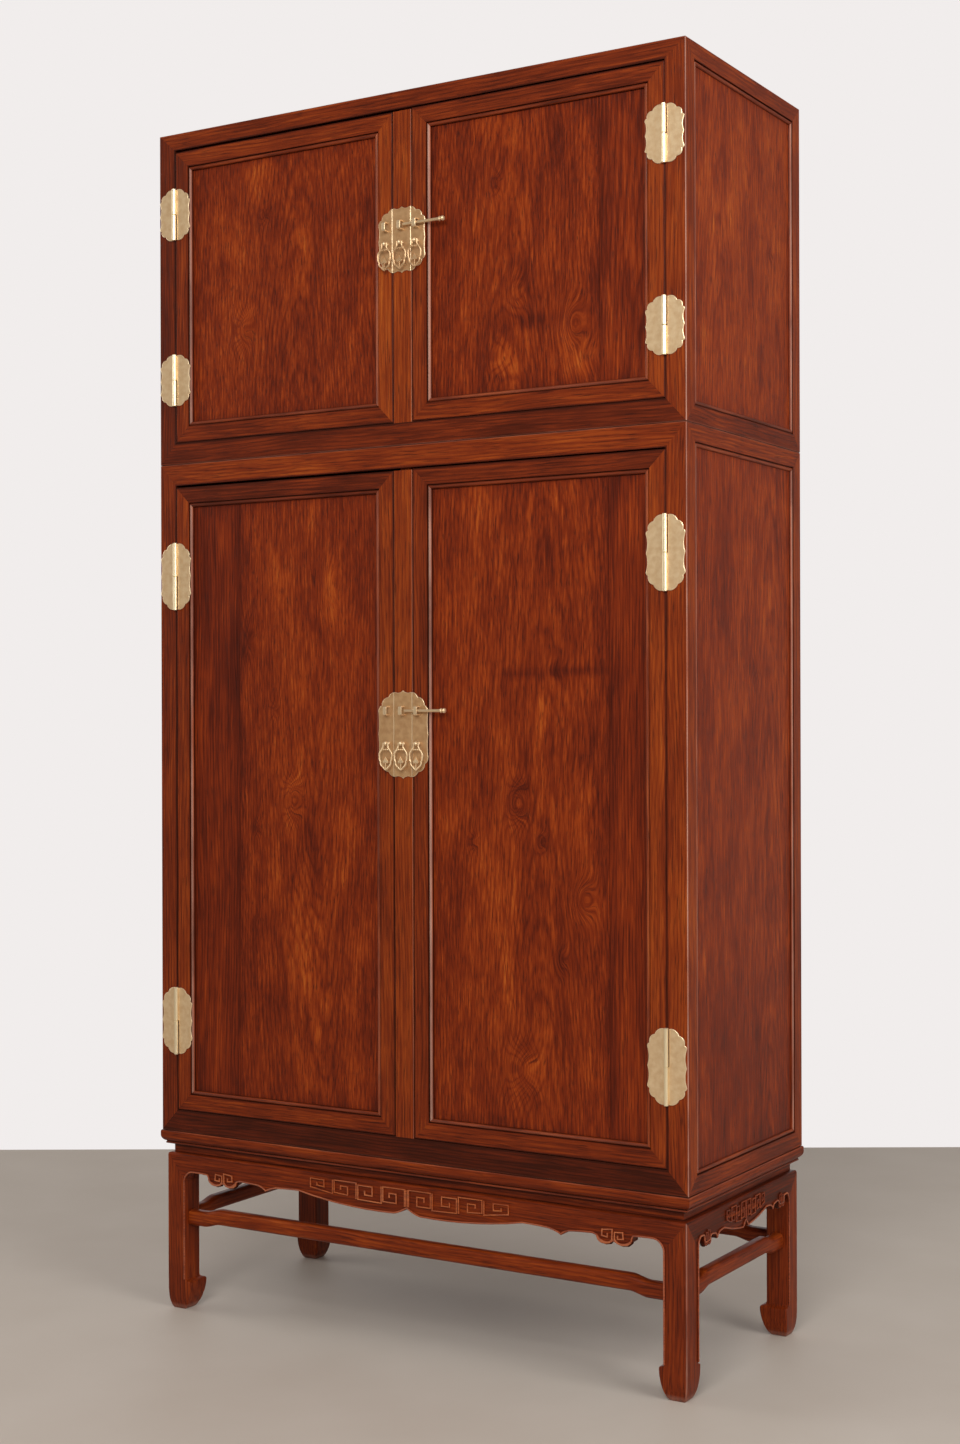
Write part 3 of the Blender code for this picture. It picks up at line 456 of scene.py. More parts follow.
def mitred_length(axis, outer, section, ends, mitres, highlight_and_wear_scale=1.0):
    """A sawn length along an axis. outer holds (axis, place, way inward) of its two outer faces, the
    section is drawn as distances inward from them, with a tone and a pale wear and highlight where there is
    one, and mitres hold (face, slope at low end, at high end). The pale wear and painted highlight are scaled
    by highlight_and_wear_scale."""
    solid = bmesh.new()
    shade, wear_and_highlight = solid.verts.layers.float.new("tone"), solid.verts.layers.float.new("wear_and_highlight")
    dots = []
    for *inward, tone, worn_and_highlit in ((*dot, 0.0, 0.0)[:4] for dot in section):
        place = Vector()
        place[axis] = ends[0]
        for (other, face, sign), distance in zip(outer, inward):
            place[other] = face + sign * distance
        dots.append(solid.verts.new(place))
        dots[-1][shade], dots[-1][wear_and_highlight] = tone, worn_and_highlit * highlight_and_wear_scale
    length = Vector()
    length[axis] = ends[1] - ends[0]
    thickened(solid, [solid.faces.new(dots)], length)
    for face_number, *slopes in mitres:
        other, face, sign = outer[face_number]
        for end, slope, out in zip(ends, slopes, (-1, 1)):
            place, normal = Vector(), Vector()
            place[axis], place[other] = end - out * MITRE_GAP, face
            normal[axis], normal[other] = out, slope * sign
            saw(solid, place, normal, clean=False)
    return outward(solid)


print("saw gap at a mitre:", MITRE_GAP * 1000, "mm")

# %% [markdown]
# Sections are drawn from straight runs and arcs. The crown of an arc is painted pale, as a painted highlight
# with some wear, and its ends are not. A bead is such an arc beside a narrow sunk quirk, painted dark as its
# shade.

# %% Arcs and beads
BEAD_WIDTH, QUIRK_DEPTH, QUIRK_PAINTED_SHADE, QUIRK_EDGE_PAINTED_SHADE = 0.009, 0.0034, -0.60, -0.14


def arc(centre, radius, start, end, steps):
    """Points of an arc, from and to angles in degrees."""
    angles = [math.radians(start + (end - start) * step / steps) for step in range(steps + 1)]
    return [(centre[0] + radius * math.cos(angle), centre[1] + radius * math.sin(angle)) for angle in angles]


def worn_and_highlit_arc(centre, radius, start, end, steps, worn_and_highlit=1.0):
    """An arc whose middle is painted pale, a painted highlight with some wear, and whose two ends are not."""
    points = arc(centre, radius, start, end, steps)
    return [(*point, 0.0, worn_and_highlit * math.sin(math.pi * step / steps)) for step, point in enumerate(points)]


def bead(start, worn_and_highlit=1.0):
    """A quirk painted dark as shade and a small bead with a painted highlight, as (across, depth, tone, wear
    and highlight), over the last 9 mm of a face.
    """
    quirk = [(start - 0.0025, 0.0), (start, 0.0, QUIRK_EDGE_PAINTED_SHADE), (start + 0.0004, QUIRK_DEPTH, QUIRK_PAINTED_SHADE),
             (start + 0.0013, QUIRK_DEPTH, QUIRK_PAINTED_SHADE)]
    crown = worn_and_highlit_arc((start + 0.0050, 0.0040), 0.0034, 190, 350, 8, worn_and_highlit)
    return [*quirk, *crown, (start + BEAD_WIDTH, 0.0046, QUIRK_PAINTED_SHADE)]


print("bead section points:", len(bead(0.035)))

# %% [markdown]
# A carcass has four posts, four rails along the front and back, and four along the sides. The outer corner
# of the posts is rubbed round by two centuries of hands, so its edge is a small arc, painted pale as a
# highlight with some wear. Around each side panel the posts and side rails carry a bead with a quirk beside
# it that is painted dark as shade, and the beads on the back posts carry a stronger painted highlight. Where
# a member meets a door, its edge is painted dark as the shade in the gap.

# %% Sections of posts and rails
POST_WIDTH, POST_DEPTH, SIDE_RAIL = 0.041, 0.044, 0.041
ARRIS, GAP_SHADE, GAP_PAINTED_SHADE = 0.0020, 0.0040, -0.50
BEAD_HIGHLIGHT_AND_WEAR = {"front": 0.35, "back": 0.85}
highlit_worn_arris = worn_and_highlit_arc((ARRIS, ARRIS), ARRIS, 270, 180, 4)


def highlit_worn_corner(across, deep):
    """A rectangle with its outer corner at zero rubbed round and painted pale, and painted dark as shade
    where the first face meets a door.
    """
    return [(across, 0.0), *highlit_worn_arris, (0.0, deep - GAP_SHADE), (0.0, deep, GAP_PAINTED_SHADE), (across, deep)]


def beaded_corner(across, deep, worn_and_highlit):
    """The same with a bead along the far end of the first face, and painted shade at the far end of the
    second.
    """
    run = [(depth, place, *rest) for place, depth, *rest in bead(deep - BEAD_WIDTH, worn_and_highlit)]
    return [(across, 0.0, GAP_PAINTED_SHADE), (across - GAP_SHADE, 0.0), *highlit_worn_arris, *run, (across, deep)]


print("section points:", len(highlit_worn_corner(POST_DEPTH, SIDE_RAIL)), "plain,",
      len(beaded_corner(POST_WIDTH, POST_DEPTH, BEAD_HIGHLIGHT_AND_WEAR["front"])), "beaded")

# %% The two carcasses
FRONT_RAILS = {"lower": (0.044, 0.043), "upper": (0.043, 0.034)}
# The lower cabinet's bottom rail is painted darkest: partly its own tone, partly painted shade low over the
# stand.
RAIL_TONES_AND_PAINTED_SHADE = {"lower": (-0.37, 0.04), "upper": (-0.22, -0.03)}
POST_TONES = {"lower": {"left": -0.05, "right": 0.05}, "upper": {"left": -0.18, "right": 0.05}}
SIDE_RAIL_TONES = {"bottom": -0.10, "top": 0.0}
POST_HIGHLIGHT_AND_WEAR, RAIL_HIGHLIGHT_AND_WEAR = 0.6, 0.16
ENDS = (("left", -1), ("right", 1))
side_slopes = ((1, *[POST_DEPTH / SIDE_RAIL] * 2), (0, *[POST_DEPTH / POST_WIDTH] * 2))

for cabinet, (bottom_rail, top_rail) in FRONT_RAILS.items():
    low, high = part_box(f"{cabinet}_frame")
    body = f"{cabinet}_cabinet"
    bottom_tone, top_tone = RAIL_TONES_AND_PAINTED_SHADE[cabinet]
    levels = (("bottom", low.z, 1, bottom_rail, bottom_tone), ("top", high.z, -1, top_rail, top_tone))
    faces = (("front", low.y, 1), ("back", high.y, -1))
    post_slopes = ((0, bottom_rail / POST_WIDTH, top_rail / POST_WIDTH), (1, *[SIDE_RAIL / POST_DEPTH] * 2))
    for side, sign in ENDS:
        edge = (0, high.x if sign > 0 else low.x, -sign)
        for end, face, inward in faces:
            section = beaded_corner(POST_WIDTH, POST_DEPTH, BEAD_HIGHLIGHT_AND_WEAR[end])
            post = mitred_length(2, (edge, (1, face, inward)), section, (low.z, high.z), post_slopes,
                                 POST_HIGHLIGHT_AND_WEAR)
            lay_grain(post, 2, POST_TONES[cabinet][side])
            piece(f"{cabinet}_post_{end}_{side}", post, body, frame_wood)
        for level, place, upward, *_ in levels:
            section = beaded_corner(POST_WIDTH, SIDE_RAIL, BEAD_HIGHLIGHT_AND_WEAR["front"])
            rail = mitred_length(1, (edge, (2, place, upward)), section, (low.y, high.y), side_slopes,
                                 RAIL_HIGHLIGHT_AND_WEAR)
            lay_grain(rail, 1, SIDE_RAIL_TONES[level])
            piece(f"{cabinet}_rail_{level}_{side}", rail, body, frame_wood)
    for end, face, inward in faces:
        for level, place, upward, tall, tone in levels:
            slopes = ((1, *[POST_WIDTH / tall] * 2), (0, *[POST_WIDTH / POST_DEPTH] * 2))
            rail = mitred_length(0, ((1, face, inward), (2, place, upward)), highlit_worn_corner(POST_DEPTH, tall),
                                 (low.x, high.x), slopes, RAIL_HIGHLIGHT_AND_WEAR)
            stands_for = (f"{cabinet}_frame",) if (end, level) == ("front", "top") else ()
            piece(f"{cabinet}_rail_{level}_{end}", lay_grain(rail, 0, tone), body, frame_wood, *stands_for)
    print(cabinet, "carcass: 12 mitred members")

# %% [markdown]
# The back, top and floor are plain boards let in between the members. A cube stretched to size would do, but
# a board's edges are never razor sharp, so each gets a narrow bevel that draws a fine line at its joint. The
# back planks reach a little way into the rails, so that no light comes through.

# %% Back, top, floor and shelf boards
BOARD, TONGUE, TOP_RECESS, BACK_RECESS = 0.014, 0.002, 0.003, 0.006
BOARD_EDGE, SHELF_EDGE = 0.0008, 0.0015
PLANK_SHARES, PLANK_TONES = (0.0, 0.27, 0.52, 0.78, 1.0), (-0.10, 0.02, -0.05, -0.13)
BOARD_TONES = {"top": -0.02, "floor": -0.06, "shelf": -0.05}


def plain_board(low, high, edge=BOARD_EDGE):
    """A block between two corners with narrow bevels."""
    solid = bmesh.new()
    bmesh.ops.create_cube(solid, size=1.0)
    size = Vector(high) - Vector(low)
    placed(solid, Matrix.Translation((Vector(low) + Vector(high)) / 2) @ Matrix.Diagonal(size.to_4d()))
    bevelled(solid, solid.edges[:], edge, 2)
    return solid


for cabinet, (bottom_rail, top_rail) in FRONT_RAILS.items():
    low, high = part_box(f"{cabinet}_frame")
    body = f"{cabinet}_cabinet"
    inner = high.x - POST_WIDTH
    back_face = high.y - BACK_RECESS - BOARD
    front, top, base = low.y + POST_DEPTH, high.z - TOP_RECESS, low.z + bottom_rail
    for name, limits in (("top", ((-inner, front, top - BOARD), (inner, high.y - POST_DEPTH, top))),
                         ("floor", ((-inner, front, base - BOARD), (inner, back_face, base)))):
        board = lay_grain(plain_board(*limits), 0, BOARD_TONES[name])
        piece(f"{cabinet}_{name}_board", board, body, board_wood)
    plank_edges = [-inner + 2 * inner * share for share in PLANK_SHARES]
    for number, (start, end, tone) in enumerate(zip(plank_edges, plank_edges[1:], PLANK_TONES), 1):
        plank = plain_board((start, back_face, base - TONGUE),
                            (end, back_face + BOARD, high.z - top_rail + TONGUE))
        piece(f"{cabinet}_back_plank_{number}", lay_grain(plank, 2, tone), body, board_wood)
shelf_board = lay_grain(plain_board(*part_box("lower_shelf"), SHELF_EDGE), 0, BOARD_TONES["shelf"])
piece("shelf", shelf_board, "lower_cabinet", board_wood, "lower_shelf")
print("boards: top, floor, four back planks in each cabinet, and the shelf")

# %% [markdown]
# The panels are the show wood. Each is one or two wide planks, floating in a groove, and what the eye sees is
# their figure: arches where the saw met the rings nearly flat, swirls round old knots, and dark clouds.
# A panel is a fine grid, because its knots and clouds are written on its points as values that fade with
# distance. A height map could do the same, but values on points stay with the plank and need no picture.

# %% Figured planks
CELL, SEAM_GAP, PLANK_DEEP = 0.007, 0.0003, 0.03
RIM_PAINTED_SHADE, RIM_REACH = 0.16, 0.012


def figured_plank(low, high, thickness, heart, lean, marks, tone):
    """A plank on XZ that faces -Y at y = 0. marks hold (x, z, reach across, reach along, knot, tone)."""
    solid = bmesh.new()
    wide, tall = high[0] - low[0], high[1] - low[1]
    place = (Matrix.Translation(((low[0] + high[0]) / 2, 0, (low[1] + high[1]) / 2))
             @ Matrix.Rotation(math.pi / 2, 4, "X") @ Matrix.Diagonal((wide, tall, 1, 1)))
    bmesh.ops.create_grid(solid, x_segments=max(2, round(wide / CELL)), y_segments=round(tall / CELL),
                          size=0.5, matrix=place)
    thickened(solid, solid.faces[:], (0, thickness, 0))
    outward(solid)
    number = next(board_numbers)
    grain = solid.verts.layers.float_vector.new("grain")
    knot, shade = solid.verts.layers.float.new("knot"), solid.verts.layers.float.new("tone")
    for point in solid.verts:
        x, z = point.co.x, point.co.z
        bend, dark = 0.0, tone
        for mark_x, mark_z, across, along, ring, change in marks:
            near = math.exp(-((x - mark_x) / across) ** 2 - ((z - mark_z) / along) ** 2)
            bend += ring * near
            dark += change * near
        rim = min(x - low[0], high[0] - x, z - low[1], high[1] - z)
        deep = point.co.y + PLANK_DEEP + lean * (z - heart[1])
        point[grain] = (x - heart[0], deep, z + BOARD_STEP * number)
        point[knot] = bend
        # The rim of each plank is painted darker: painted shade under the frame, with some old dirt.
        point[shade] = dark - RIM_PAINTED_SHADE * math.exp(-rim / RIM_REACH)
    return solid


def panel(node_name, body, low, high, seam, planks, place, thickness):
    """A panel of one or two planks that meet at a seam; place turns and moves it."""
    edges = [low[0], high[0]] if seam is None else [low[0], seam, high[0]]
    for number, (start, end, (heart, lean, marks, tone)) in enumerate(zip(edges, edges[1:], planks), 1):
        left = start + (SEAM_GAP if number > 1 else 0.0)
        right = end - (SEAM_GAP if number < len(planks) else 0.0)
        solid = figured_plank((left, low[1]), (right, high[1]), thickness, heart, lean, marks, tone)
        stands_for = (node_name,) if number == 1 else ()
        piece(f"{node_name}_plank_{number}", placed(solid, place), body, panel_wood, *stands_for)


print("grid cell:", CELL * 1000, "mm")

# %% [markdown]
# Each door panel gets the figure that its own planks have: where a seam runs, where the heart of the tree
# lies and how it leans, and the knots, swirls, dark clouds and pale flecks along it, each as (x, z, reach
# across, reach along, knot, tone). The last number of a plank is its own tone.

# %% Figure of the door planks
DOOR_PLANKS = {
    "lower_left": (-0.397, (
        ((-0.62, 1.0), 0.02, ((-0.40, 1.36, 0.03, 0.09, 0.004, -0.20),), -0.09),
        ((-0.215, 1.95), 0.085, (
            (-0.378, 1.362, 0.014, 0.040, 0.016, -0.26), (-0.311, 1.478, 0.018, 0.075, 0.0, 0.24),
            (-0.176, 1.461, 0.016, 0.055, 0.012, 0.20), (-0.312, 1.222, 0.010, 0.016, 0.014, -0.16),
            (-0.269, 1.047, 0.022, 0.036, 0.040, 0.06), (-0.355, 0.990, 0.009, 0.014, 0.014, -0.24),
            (-0.246, 0.733, 0.05, 0.16, 0.015, 0.10), (-0.140, 1.05, 0.03, 0.22, 0.0, 0.08)), 0.0))),
    "lower_right": (0.437, (
        ((0.30, 0.35), 0.075, (
            (0.244, 1.050, 0.019, 0.034, 0.046, -0.10), (0.26, 1.288, 0.05, 0.008, 0.0, -0.20),
            (0.385, 1.292, 0.05, 0.009, 0.0, -0.24), (0.329, 1.294, 0.018, 0.014, 0.006, -0.26),
            (0.296, 1.179, 0.009, 0.080, 0.0, 0.24), (0.149, 0.976, 0.010, 0.015, 0.016, -0.24),
            (0.297, 0.980, 0.010, 0.016, 0.016, -0.22), (0.384, 0.878, 0.020, 0.030, 0.036, -0.08),
            (0.338, 0.767, 0.012, 0.022, 0.016, -0.22), (0.148, 1.241, 0.026, 0.16, 0.0, 0.12),
            (0.211, 0.790, 0.030, 0.15, 0.0, 0.13), (0.254, 0.560, 0.034, 0.045, 0.040, 0.08),
            (0.30, 1.45, 0.07, 0.13, 0.0, -0.07)), 0.01),
        ((0.75, 1.0), 0.02, ((0.45, 1.3, 0.02, 0.3, 0.0, -0.06),), -0.03))),
    "upper_left": (None, (
        ((-0.25, 1.55), 0.10, (
            (-0.334, 2.207, 0.010, 0.014, 0.014, -0.16), (-0.351, 2.285, 0.05, 0.045, 0.0, 0.12),
            (-0.389, 1.984, 0.024, 0.036, 0.030, 0.06), (-0.400, 2.130, 0.015, 0.040, 0.0, 0.16),
            (-0.241, 2.126, 0.022, 0.060, 0.0, 0.16), (-0.169, 1.962, 0.040, 0.07, 0.0, -0.12),
            (-0.300, 2.050, 0.05, 0.03, 0.0, -0.08)), 0.0),)),
    "upper_right": (0.420, (
        ((0.23, 1.60), 0.09, (
            (0.263, 2.140, 0.014, 0.045, 0.0, 0.22), (0.245, 1.990, 0.020, 0.035, 0.020, 0.22),
            (0.211, 1.875, 0.026, 0.030, 0.014, 0.20), (0.203, 2.198, 0.012, 0.020, 0.014, -0.18),
            (0.337, 2.270, 0.030, 0.060, 0.0, -0.18), (0.275, 1.935, 0.060, 0.012, 0.0, -0.20),
            (0.363, 1.920, 0.022, 0.040, 0.034, 0.04), (0.390, 1.858, 0.030, 0.030, 0.012, 0.12)), -0.02),
        ((0.52, 1.5), 0.05, (), -0.05))),
}
print("planks:", {door: len(planks) for door, (_, planks) in DOOR_PLANKS.items()})

# %% [markdown]
# A door is a mitred frame with a bead inside it, hung on the post, and a panel that sits 7 mm back. The
# frame's four members share one section, and each has its own tone and its own painted highlight with wear.
# The frame's outer edge is painted dark, as the shade in the narrow gap round the door.

# %% The four doors
DOOR_MEMBER, DOOR_THICKNESS, DOOR_ARRIS, DOOR_FLAT, DOOR_GAP_PAINTED_SHADE = 0.041, 0.028, 0.0012, 0.0032, -0.40
PANEL_RECESS, PANEL_THICKNESS, PANEL_TONGUE = 0.007, 0.008, 0.005
RIGHT_DOOR_RISE = 0.0018
MEMBERS = ("hinge_stile", "free_stile", "bottom_rail", "top_rail")
MEMBER_TONES = {"lower_left": (0.04, 0.03, -0.06, -0.18), "lower_right": (0.09, -0.05, 0.0, -0.11),
                "upper_left": (-0.05, 0.13, -0.02, -0.03), "upper_right": (0.12, -0.03, 0.03, -0.07)}
# The left stile of each door carries the strongest painted highlight, on the bead that faces the light from
# the right.
MEMBER_HIGHLIGHT_AND_WEAR = {"left": (0.45, 0.10, 0.06, 0.03), "right": (0.05, 0.62, 0.08, 0.03)}
# The outer edge and back corner of the section are painted dark as the shade in the gap round the door.
door_edge = [(*point, DOOR_GAP_PAINTED_SHADE) for point in arc((DOOR_ARRIS, DOOR_ARRIS), DOOR_ARRIS, 180, 270, 4)]
door_section = [(0.0, DOOR_THICKNESS, DOOR_GAP_PAINTED_SHADE), *door_edge, (DOOR_FLAT, 0.0),
                *bead(DOOR_MEMBER - BEAD_WIDTH), (DOOR_MEMBER, DOOR_THICKNESS)]

for door, (seam, planks) in DOOR_PLANKS.items():
    cabinet, side = door.split("_")
    body = f"{cabinet}_door_{side}"
    low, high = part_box(f"{body}_frame")
    high.z += RIGHT_DOOR_RISE if side == "right" else 0.0
    stiles = ((0, low.x, 1), (0, high.x, -1))
    edges = (*(stiles if side == "left" else reversed(stiles)), (2, low.z, 1), (2, high.z, -1))
    for member, outer, tone, highlight_and_wear_scale in zip(MEMBERS, edges, MEMBER_TONES[door], MEMBER_HIGHLIGHT_AND_WEAR[side]):
        axis, ends = (2, (low.z, high.z)) if outer[0] == 0 else (0, (low.x, high.x))
        solid = mitred_length(axis, (outer, (1, low.y, 1)), door_section, ends, ((0, 1.0, 1.0),), highlight_and_wear_scale)
        stands_for = (f"{body}_frame",) if member == "top_rail" else ()
        piece(f"{body}_{member}", lay_grain(solid, axis, tone), body, frame_wood, *stands_for)
    inset = DOOR_MEMBER - PANEL_TONGUE
    panel(f"{body}_panel", body, (low.x + inset, low.z + inset), (high.x - inset, high.z - inset), seam,
          planks, Matrix.Translation((0, low.y + PANEL_RECESS, 0)), PANEL_THICKNESS)
    print(body, "members:", len(MEMBERS), "planks:", len(planks))

# %% [markdown]
# The side panels are single planks. They are drawn on the front plane like the doors' planks, then turned a
# quarter turn to face left or right.

# %% Side panels
SIDE_PANEL = 0.010
SIDE_PLANKS = {
    "lower": ((0.12, 0.40), 0.060, (
        (0.05, 1.30, 0.03, 0.02, 0.010, -0.12), (-0.103, 1.49, 0.05, 0.12, 0.0, -0.12),
        (-0.171, 0.774, 0.012, 0.030, 0.0, 0.20), (0.10, 0.80, 0.04, 0.15, 0.012, 0.06),
        # The last mark of the lower plank darkens it towards the bottom, a painted shade.
        (0.0, 0.40, 0.40, 0.45, 0.0, -0.13)), 0.06),
    "upper": ((-0.10, 1.55), 0.080, (
        (0.128, 2.089, 0.014, 0.010, 0.012, -0.20), (-0.06, 2.2, 0.05, 0.10, 0.0, 0.06)), 0.08),
}
for cabinet, plank in SIDE_PLANKS.items():
    for side, sign in ENDS:
        name = f"{cabinet}_side_panel_{side}"
        low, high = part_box(name)
        turn = (Matrix.Translation((high.x if sign > 0 else low.x, 0, 0))
                @ Matrix.Rotation(sign * math.pi / 2, 4, "Z"))
        left, right = sorted(sign * value for value in (low.y, high.y))
        panel(name, f"{cabinet}_cabinet", (left, low.z), (right, high.z), None, (plank,), turn, SIDE_PANEL)
print("side panels:", 2 * len(SIDE_PLANKS))

# %% [markdown]
# The centre stile between the doors is a plain bar with two tenons, which lifts out when the doors are open.
# Its right edge is painted paler than its left, as a painted highlight with some wear.

# %% Centre stiles
TENON_LOW, TENON_HIGH, DOOR_TOP_GAP = 0.0035, 0.008, 0.0045
TENON_HALF_WIDTH, TENON_HALF_DEPTH, TENON_EDGE = 0.012, 0.005, 0.0006
STILE_ARRIS, STILE_FLAT, STILE_TONE = 0.0012, 0.0035, 0.11
STILE_HIGHLIGHT_AND_WEAR = {"left": 0.12, "right": 0.22}
for cabinet in FRONT_RAILS:
    low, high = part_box(f"{cabinet}_centre_stile")
    wide, deep = high.x - low.x, high.y - low.y
    right_edge = worn_and_highlit_arc((wide - STILE_ARRIS, STILE_ARRIS), STILE_ARRIS, 270, 360, 4, STILE_HIGHLIGHT_AND_WEAR["right"])
    left_edge = worn_and_highlit_arc((STILE_ARRIS, STILE_ARRIS), STILE_ARRIS, 180, 270, 4, STILE_HIGHLIGHT_AND_WEAR["left"])
    section = [(0.0, deep), *left_edge, (STILE_FLAT, 0.0), (wide - STILE_FLAT, 0.0), *right_edge,
               (wide, deep)]
    bar = mitred_length(2, ((0, low.x, 1), (1, low.y, 1)), section,
                        (low.z + TENON_LOW, high.z - TENON_HIGH - DOOR_TOP_GAP), ())
    middle = (low.y + high.y) / 2
    tenons = [plain_board((-TENON_HALF_WIDTH, middle - TENON_HALF_DEPTH, foot),
                          (TENON_HALF_WIDTH, middle + TENON_HALF_DEPTH, head), TENON_EDGE)
              for foot, head in ((low.z, low.z + 0.01), (high.z - 0.02, high.z))]
    piece(f"{cabinet}_stile", lay_grain(joined(bar, *tenons), 2, STILE_TONE), f"{cabinet}_stile", frame_wood,
          f"{cabinet}_centre_stile")
print("centre stiles:", len(FRONT_RAILS))

# %% [markdown]
# The stand starts with a moulded frame under the cabinets: a full band that curves in below, a quirk
# painted dark as its shade, and a small bead. The band is painted paler on its upper part as light from
# above.
# The section is drawn once, as distance inward and distance down, and four mitred lengths are sawn from it.
# Under it a plain waist is set back in the shade, and it is painted darker too, as shade. The side lengths of
# both are painted darker than the front and back, as painted shade.

# %% Moulded top frame and waist
WAIST_HEIGHT, WAIST_INSET, WAIST_THICKNESS = 0.0165, 0.018, 0.010
TOP_FRAME_TONE, WAIST_PAINTED_SHADE, SIDE_SHADE = -0.07, -0.10, 0.09
FRAME_REACH, FRAME_HEIGHT = 0.070, 0.0300
# The band is painted paler on its upper part and top arris as light from above, and dark at its top edge as
# shade under the cabinet.
band = [(0.0024, 0.0, -0.20), (0.0009, 0.0009, 0.10, 0.10), (0.0002, 0.0026, 0.10), (0.0, 0.0050, 0.10),
        (0.0, 0.0115, 0.08), (0.0006, 0.0145, 0.05), (0.0020, 0.0175), (0.0042, 0.0202), (0.0066, 0.0220)]
quirk = [(0.0086, 0.0226, QUIRK_PAINTED_SHADE), (0.0088, 0.0240, QUIRK_PAINTED_SHADE)]
small_bead = worn_and_highlit_arc((0.0096, 0.0262), 0.0020, 270, 90, 6, 0.05)
foot = [(0.0160, 0.0290, QUIRK_PAINTED_SHADE), (0.0160, FRAME_HEIGHT, QUIRK_PAINTED_SHADE), (FRAME_REACH, FRAME_HEIGHT)]
top_section = [(FRAME_REACH, 0.0), *band, *quirk, *small_bead, *foot]
# The waist's top and bottom edges are painted dark as shade.
waist_section = [(0.0, 0.0, -0.45), (0.0, 0.3 * WAIST_HEIGHT), (0.0, 0.8 * WAIST_HEIGHT),
                 (0.0, WAIST_HEIGHT, -0.40), (WAIST_THICKNESS, WAIST_HEIGHT), (WAIST_THICKNESS, 0.0)]

frame_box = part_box("stand_top_frame")
waist_top = frame_box[0].z
for part, limits, section, top, inset, tone in (
        ("top_frame", frame_box, top_section, frame_box[1].z, 0.0, TOP_FRAME_TONE),
        ("waist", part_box("lower_frame"), waist_section, waist_top, WAIST_INSET, WAIST_PAINTED_SHADE)):
    for side, axis, sign in (("front", 0, 1), ("back", 0, -1), ("left", 1, 1), ("right", 1, -1)):
        other = 1 - axis
        face = (limits[0] if sign > 0 else limits[1])[other] + sign * inset
        ends = (limits[0][axis] + inset, limits[1][axis] - inset)
        solid = mitred_length(axis, ((other, face, sign), (2, top, -1)), section, ends, ((0, 1.0, 1.0),))
        stands_for = ("stand_top_frame",) if (part, side) == ("top_frame", "front") else ()
        # Side lengths are painted darker by SIDE_SHADE, as their shade.
        piece(f"stand_{part}_{side}", lay_grain(solid, axis, tone - SIDE_SHADE * axis), "lower_cabinet",
              frame_wood, *stands_for)
print("top frame section points:", len(top_section))

# %% [markdown]
# Aprons, hinges, lock plates and pulls have outlines of short arcs. An outline is written as stretches, each
# with its end and how far it bulges, and mirrored. A flat outline becomes a plate. A line becomes a round
# raised strip, by way of a curve with a bevel, which is the quickest way to a round bar along a path.

# %% Outlines from arcs
ARC_STEPS = 7


def stretch(start, end, bulge):
    """Points after start up to end, on an arc whose middle stands out to the left by the bulge."""
    if bulge == 0:
        return [end]
    half = (end - start).length / 2
    left = Vector((start.y - end.y, end.x - start.x)).normalized()
    centre = (start + end) / 2 + left * (bulge - (half ** 2 + bulge ** 2) / (2 * bulge))
    sweep = -4 * math.atan(bulge / half)
    turns = [Matrix.Rotation(sweep * step / ARC_STEPS, 2) for step in range(1, ARC_STEPS)]
    return [centre + turn @ (start - centre) for turn in turns] + [end]


def outline(start, stretches):
    """Points of an outline from a start and stretches of (x, y, bulge)."""
    points = [Vector(start)]
    for x, y, bulge in stretches:
        points += stretch(points[-1], Vector((x, y)), bulge)
    return points


def mirrored(half):
    """A whole outline from its right half, which starts and ends on the middle line."""
    return half + [Vector((-point.x, point.y)) for point in reversed(half[1:-1])]


def plate(points, thickness):
    """A flat plate on XZ whose front face is at y = 0."""
    solid = bmesh.new()
    thickened(solid, [solid.faces.new([solid.verts.new((point.x, 0, point.y)) for point in points])],
              (0, thickness, 0))
    return outward(solid)


print("arc steps:", ARC_STEPS)

# %% Raised lines
LINE_ROUNDNESS = 2


def raised_line(lines, radius, worn_and_highlit=0.0, foot=0.0):
    """Round raised lines through lists of points, made as bevelled curves and turned into one mesh. The crown
    that faces forward takes a painted highlight with wear, and the foot takes a tone, which paints its shade."""
    curve = bpy.data.curves.new("line", "CURVE")
    curve.dimensions = "3D"
    curve.bevel_depth = radius
    curve.bevel_resolution = LINE_ROUNDNESS
    curve.use_fill_caps = True
    for points in lines:
        spline = curve.splines.new("POLY")
        spline.points.add(len(points) - 1)
        for target, point in zip(spline.points, points):
            target.co = (*point, 1.0)
    holder = bpy.data.objects.new("line", curve)
    scene.collection.objects.link(holder)
    mesh = bpy.data.meshes.new_from_object(holder.evaluated_get(bpy.context.evaluated_depsgraph_get()))
    solid = bmesh.new()
    solid.from_mesh(mesh)
    bmesh.ops.remove_doubles(solid, verts=solid.verts, dist=0.000001)
    wear_and_highlight, shade = solid.verts.layers.float.new("wear_and_highlight"), solid.verts.layers.float.new("tone")
    for point in solid.verts:
        crown = max(0.0, -point.normal.y)
        point[wear_and_highlight], point[shade] = worn_and_highlit * crown, foot * (1 - crown)
    bpy.data.objects.remove(holder, do_unlink=True)
    bpy.data.meshes.remove(mesh)
    return solid


def two_sided(line):
    """A line from its right half, which ends on the middle line."""
    return line + [Vector((-point.x, 0, point.z)) for point in reversed(line[:-1])]


print("extra steps in a quarter of a round line:", LINE_ROUNDNESS)

# %% [markdown]
# An apron is a board with a scalloped lower edge. The board runs through to the corner of the stand, where
# it meets the leg and the next apron in a slanted joint, as on the carcass. Its upper front edge is rounded
# over into the waist.

